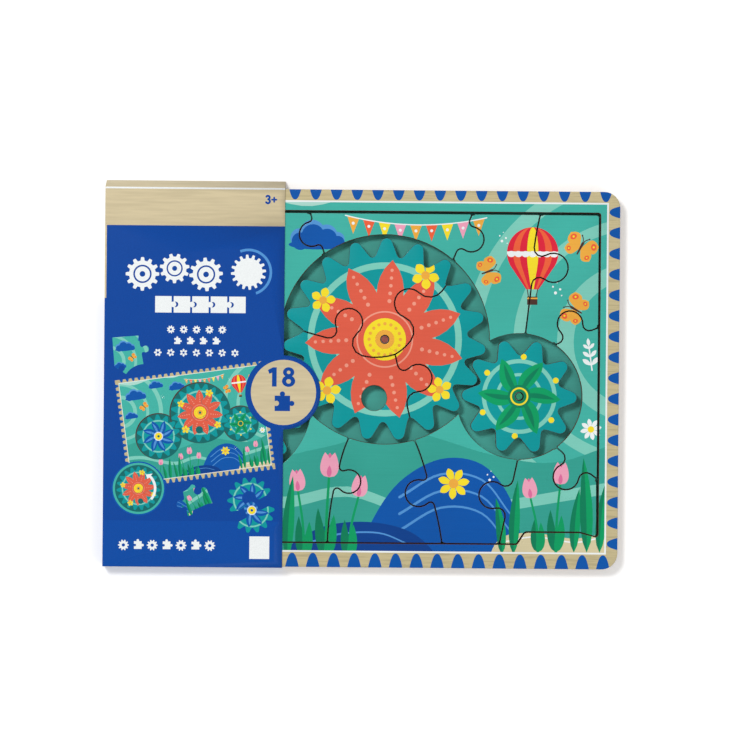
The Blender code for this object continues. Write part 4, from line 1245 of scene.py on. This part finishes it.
def build_sleeve():
    """The sleeve's outer skin with rounded folds, thickened inwards to its card."""
    low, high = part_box("card_sleeve")
    fold = mm("card_fold")
    front = max(top_outlines("card_sleeve"), key=len)
    left, bottom = front.min(axis=0)
    disc_reach, top = front.max(axis=0)
    slope = high.y / MM - top
    mouth = front[np.abs(front[:, 1] - top) < SLACK][:, 0].max()
    disc = front[front[:, 0] > mouth + SLACK]
    x, y = middle_of("tray_frame")

    def sides_at(points, inset):
        """Which points lie on the left, lower and upper sides, drawn in by an inset."""
        places = ((0, left + inset), (1, bottom + inset), (1, top - inset))
        return [np.abs(points[:, axis] - place) < SLACK for axis, place in places]

    def pushed(points, sides, out, rise=0.0):
        """Points moved out over their sides, and those on the upper side up by a rise too."""
        on_left, on_bottom, on_top = sides
        return points + np.column_stack([-out * on_left, (out + rise) * on_top - out * on_bottom])

    disc_y = (disc[:, 1].min() + disc[:, 1].max()) / 2
    drawn = sleeve_print(left - x, bottom - y, top - y, mouth - x, disc_y - y, disc_reach - mouth)
    inset = pushed(front, sides_at(front, 0), -fold)
    corners, faces, found = divided([inset], in_place(drawn, "tray_frame"), "sleeve_blue")
    shell = Shell()
    border, upper = shell.add_print(corners, faces, found, high.z)
    sides = sides_at(corners, fold)
    folded = {
        edge: name for edge, name in border.items() if any(side[edge[0]] and side[edge[1]] for side in sides)
    }
    border_corners = sorted({corner for edge in folded for corner in edge})
    flat = corners[border_corners]
    sides = [side[border_corners] for side in sides]
    levels = [(fold * out, high.z - down * fold * MM) for out, down in ROUNDING]
    levels += [(fold * out, low.z + down * fold * MM) for out, down in [*ROUNDING[::-1], (0, 0)]]
    # Painted highlight: the white strip of the top fold runs over the fold's first two levels, then the card
    # turns tan
    highlight_levels = 2
    for number, (out, height) in enumerate(levels):
        if number == highlight_levels:
            folded = {edge: "sleeve_tan" if name == "white" else name for edge, name in folded.items()}
        rise = slope * (high.z - height) / (high.z - low.z)
        lower = shell.add_level(border_corners, pushed(flat, sides, out, rise), height)
        shell.add_wall(folded, upper, lower)
        upper = lower
    following = dict(folded.keys())
    corner = (set(following) - set(following.values())).pop()
    chain = [upper[corner]]
    while corner in following:
        corner = following[corner]
        chain.append(upper[corner])
    shell.add_face(chain[::-1], "sleeve_blue")
    sleeve = shell.build("finished_card_sleeve", "card")
    sleeve.data.materials.append(finish("card_core", "card"))
    card = sleeve.modifiers.new("card", "SOLIDIFY")
    card.thickness = sizes().card_thickness
    card.offset = -1
    card.use_even_offset = True
    card.material_offset = card.material_offset_rim = len(sleeve.data.materials)
    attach(sleeve, "sleeve")
    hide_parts("card_sleeve")


class GEARPUZZLE_OT_tray(bpy.types.Operator):
    """Print the frame and the back board's hollows"""

    bl_idname = "gear_puzzle.tray"
    bl_label = "Tray"

    def execute(self, context):
        frame_page = board_page()
        printed_piece("tray_frame", frame_page, "bare_wood", "plywood", "plywood", "frame_round")
        printed_piece("tray_back_board", Picture(), "hollow", "hardboard", "hardboard")
        return {"FINISHED"}


class GEARPUZZLE_OT_board(bpy.types.Operator):
    """Print the twelve jigsaw pieces of the board"""

    bl_idname = "gear_puzzle.board"
    bl_label = "Board pieces"

    def execute(self, context):
        page = board_page()
        for node in BOARD_NODES:
            printed_piece(node, page, "teal")
        return {"FINISHED"}


class GEARPUZZLE_OT_gears(bpy.types.Operator):
    """Print the three gears and stain the pegs they turn on"""

    bl_idname = "gear_puzzle.gears"
    bl_label = "Gears and pegs"

    def execute(self, context):
        for _, nodes, page in gear_pages():
            for node in nodes:
                printed_piece(node, page, "gear_teal")
        for peg, stain, _ in GEARS:
            node = frame["nodes"][peg]
            node.data.materials.clear()
            node.data.materials.append(finish(stain, "peg"))
            bevel = node.modifiers.new("worn_edge", "BEVEL")
            bevel.width = sizes().edge_round / 2
            bevel.segments = 2
            bevel.limit_method = "ANGLE"
        return {"FINISHED"}


class GEARPUZZLE_OT_sleeve(bpy.types.Operator):
    """Fold the printed card sleeve"""

    bl_idname = "gear_puzzle.sleeve"
    bl_label = "Card sleeve"

    def execute(self, context):
        build_sleeve()
        return {"FINISHED"}


class GEARPUZZLE_OT_stage(bpy.types.Operator):
    """Set up the floor, the daylight, the lamps and the camera"""

    bl_idname = "gear_puzzle.stage"
    bl_label = "Stage"

    def execute(self, context):
        add_floor()
        add_daylight()
        for name, (location, side, power_name) in LAMPS.items():
            add_lamp(name, location, side, getattr(stage(), power_name))
        add_camera()
        context.scene.view_settings.view_transform = "Standard"
        return {"FINISHED"}


def add_floor():
    """A pale floor that shows white to the camera and keeps the shadow."""
    bpy.ops.mesh.primitive_plane_add(size=stage().floor_size, location=(0, 0, CAD_BOX[0].z - FLOOR_GAP))
    floor = bpy.context.object
    floor.name = "floor"
    material, shader, place = new_material("pale_floor")
    tone = toned(noise(place, 3, 2), (1, 1, 1), (0.3, 0.90), (0.7, 0.93))
    feed(shader, {"Base Color": tone, "Roughness": 0.9})
    tree = material.node_tree
    seen = add_node(tree, "ShaderNodeLightPath", {}, "Is Camera Ray")
    lift = add_node(tree, "ShaderNodeMath", {0: seen, 1: FLOOR_GLOW}, operation="MULTIPLY")
    glow = add_node(tree, "ShaderNodeEmission", {"Strength": lift})
    both = add_node(tree, "ShaderNodeAddShader", {0: shader.outputs["BSDF"], 1: glow})
    feed(tree.nodes["Material Output"], {"Surface": both})
    floor.data.materials.append(material)


def add_daylight():
    """An even sky: plain white where it is seen or mirrored, dimmer where it lights."""
    world = bpy.data.worlds.new("daylight")
    world.use_nodes = True
    tree = world.node_tree
    seen = add_node(tree, "ShaderNodeLightPath", {}, "Is Camera Ray")
    rays = seen.node.outputs
    for ray in ("Is Glossy Ray", "Is Transmission Ray"):
        seen = add_node(tree, "ShaderNodeMath", {0: seen, 1: rays[ray]}, operation="MAXIMUM")
    levels = {"Value": seen, "To Min": stage().daylight, "To Max": 1.0}
    strength = add_node(tree, "ShaderNodeMapRange", levels)
    feed(tree.nodes["Background"], {"Color": (1, 1, 1, 1), "Strength": strength})
    bpy.context.scene.world = world


def add_lamp(name, location, side, watts):
    """A soft square lamp aimed at the puzzle."""
    light = bpy.data.lights.new(name, "AREA")
    light.size = side
    light.energy = watts
    lamp = bpy.data.objects.new(name, light)
    lamp.location = location
    lamp.rotation_euler = (-Vector(location)).to_track_quat("-Z", "Y").to_euler()
    bpy.context.scene.collection.objects.link(lamp)


def add_camera():
    """A long lens straight above the puzzle."""
    x, y = middle_of("tray_frame") * MM
    height = stage().camera_height
    data = bpy.data.cameras.new("camera")
    data.lens = data.sensor_width * height / stage().field_width
    camera = bpy.data.objects.new("camera", data)
    camera.location = (x + stage().aim_right, y + stage().aim_up, CAD_BOX[1].z + height)
    camera.rotation_euler = (0, 0, stage().roll)
    bpy.context.scene.collection.objects.link(camera)
    bpy.context.scene.camera = camera


class GEARPUZZLE_PT_panel(bpy.types.Panel):
    """Steps of the finish, in order"""

    bl_idname = "GEARPUZZLE_PT_panel"
    bl_label = "Gear puzzle"
    bl_space_type = "VIEW_3D"
    bl_region_type = "UI"
    bl_category = "Gear puzzle"

    def draw(self, context):
        for operator in STEPS:
            self.layout.operator(operator.bl_idname)
        for group in (inks(), sizes(), stage()):
            column = self.layout.column()
            for name in group.__annotations__:
                column.prop(group, name)


STEPS = (
    GEARPUZZLE_OT_stage, GEARPUZZLE_OT_tray, GEARPUZZLE_OT_board, GEARPUZZLE_OT_gears, GEARPUZZLE_OT_sleeve,
)
GROUPS = {
    "gear_puzzle_inks": GearPuzzleInks,
    "gear_puzzle_sizes": GearPuzzleSizes,
    "gear_puzzle_stage": GearPuzzleStage,
}


def register():
    """Register the groups, the steps and the panel."""
    for name, group in GROUPS.items():
        bpy.utils.register_class(group)
        setattr(bpy.types.Scene, name, bpy.props.PointerProperty(type=group))
    for thing in (*STEPS, GEARPUZZLE_PT_panel):
        bpy.utils.register_class(thing)


def unregister():
    """Take everything out again."""
    for thing in (GEARPUZZLE_PT_panel, *reversed(STEPS)):
        bpy.utils.unregister_class(thing)
    for name, group in reversed(GROUPS.items()):
        delattr(bpy.types.Scene, name)
        bpy.utils.unregister_class(group)


def main():
    """Run every step in order."""
    register()
    bpy.ops.gear_puzzle.stage()
    bpy.ops.gear_puzzle.tray()
    bpy.ops.gear_puzzle.board()
    bpy.ops.gear_puzzle.gears()
    bpy.ops.gear_puzzle.sleeve()


if __name__ == "__main__":
    main()
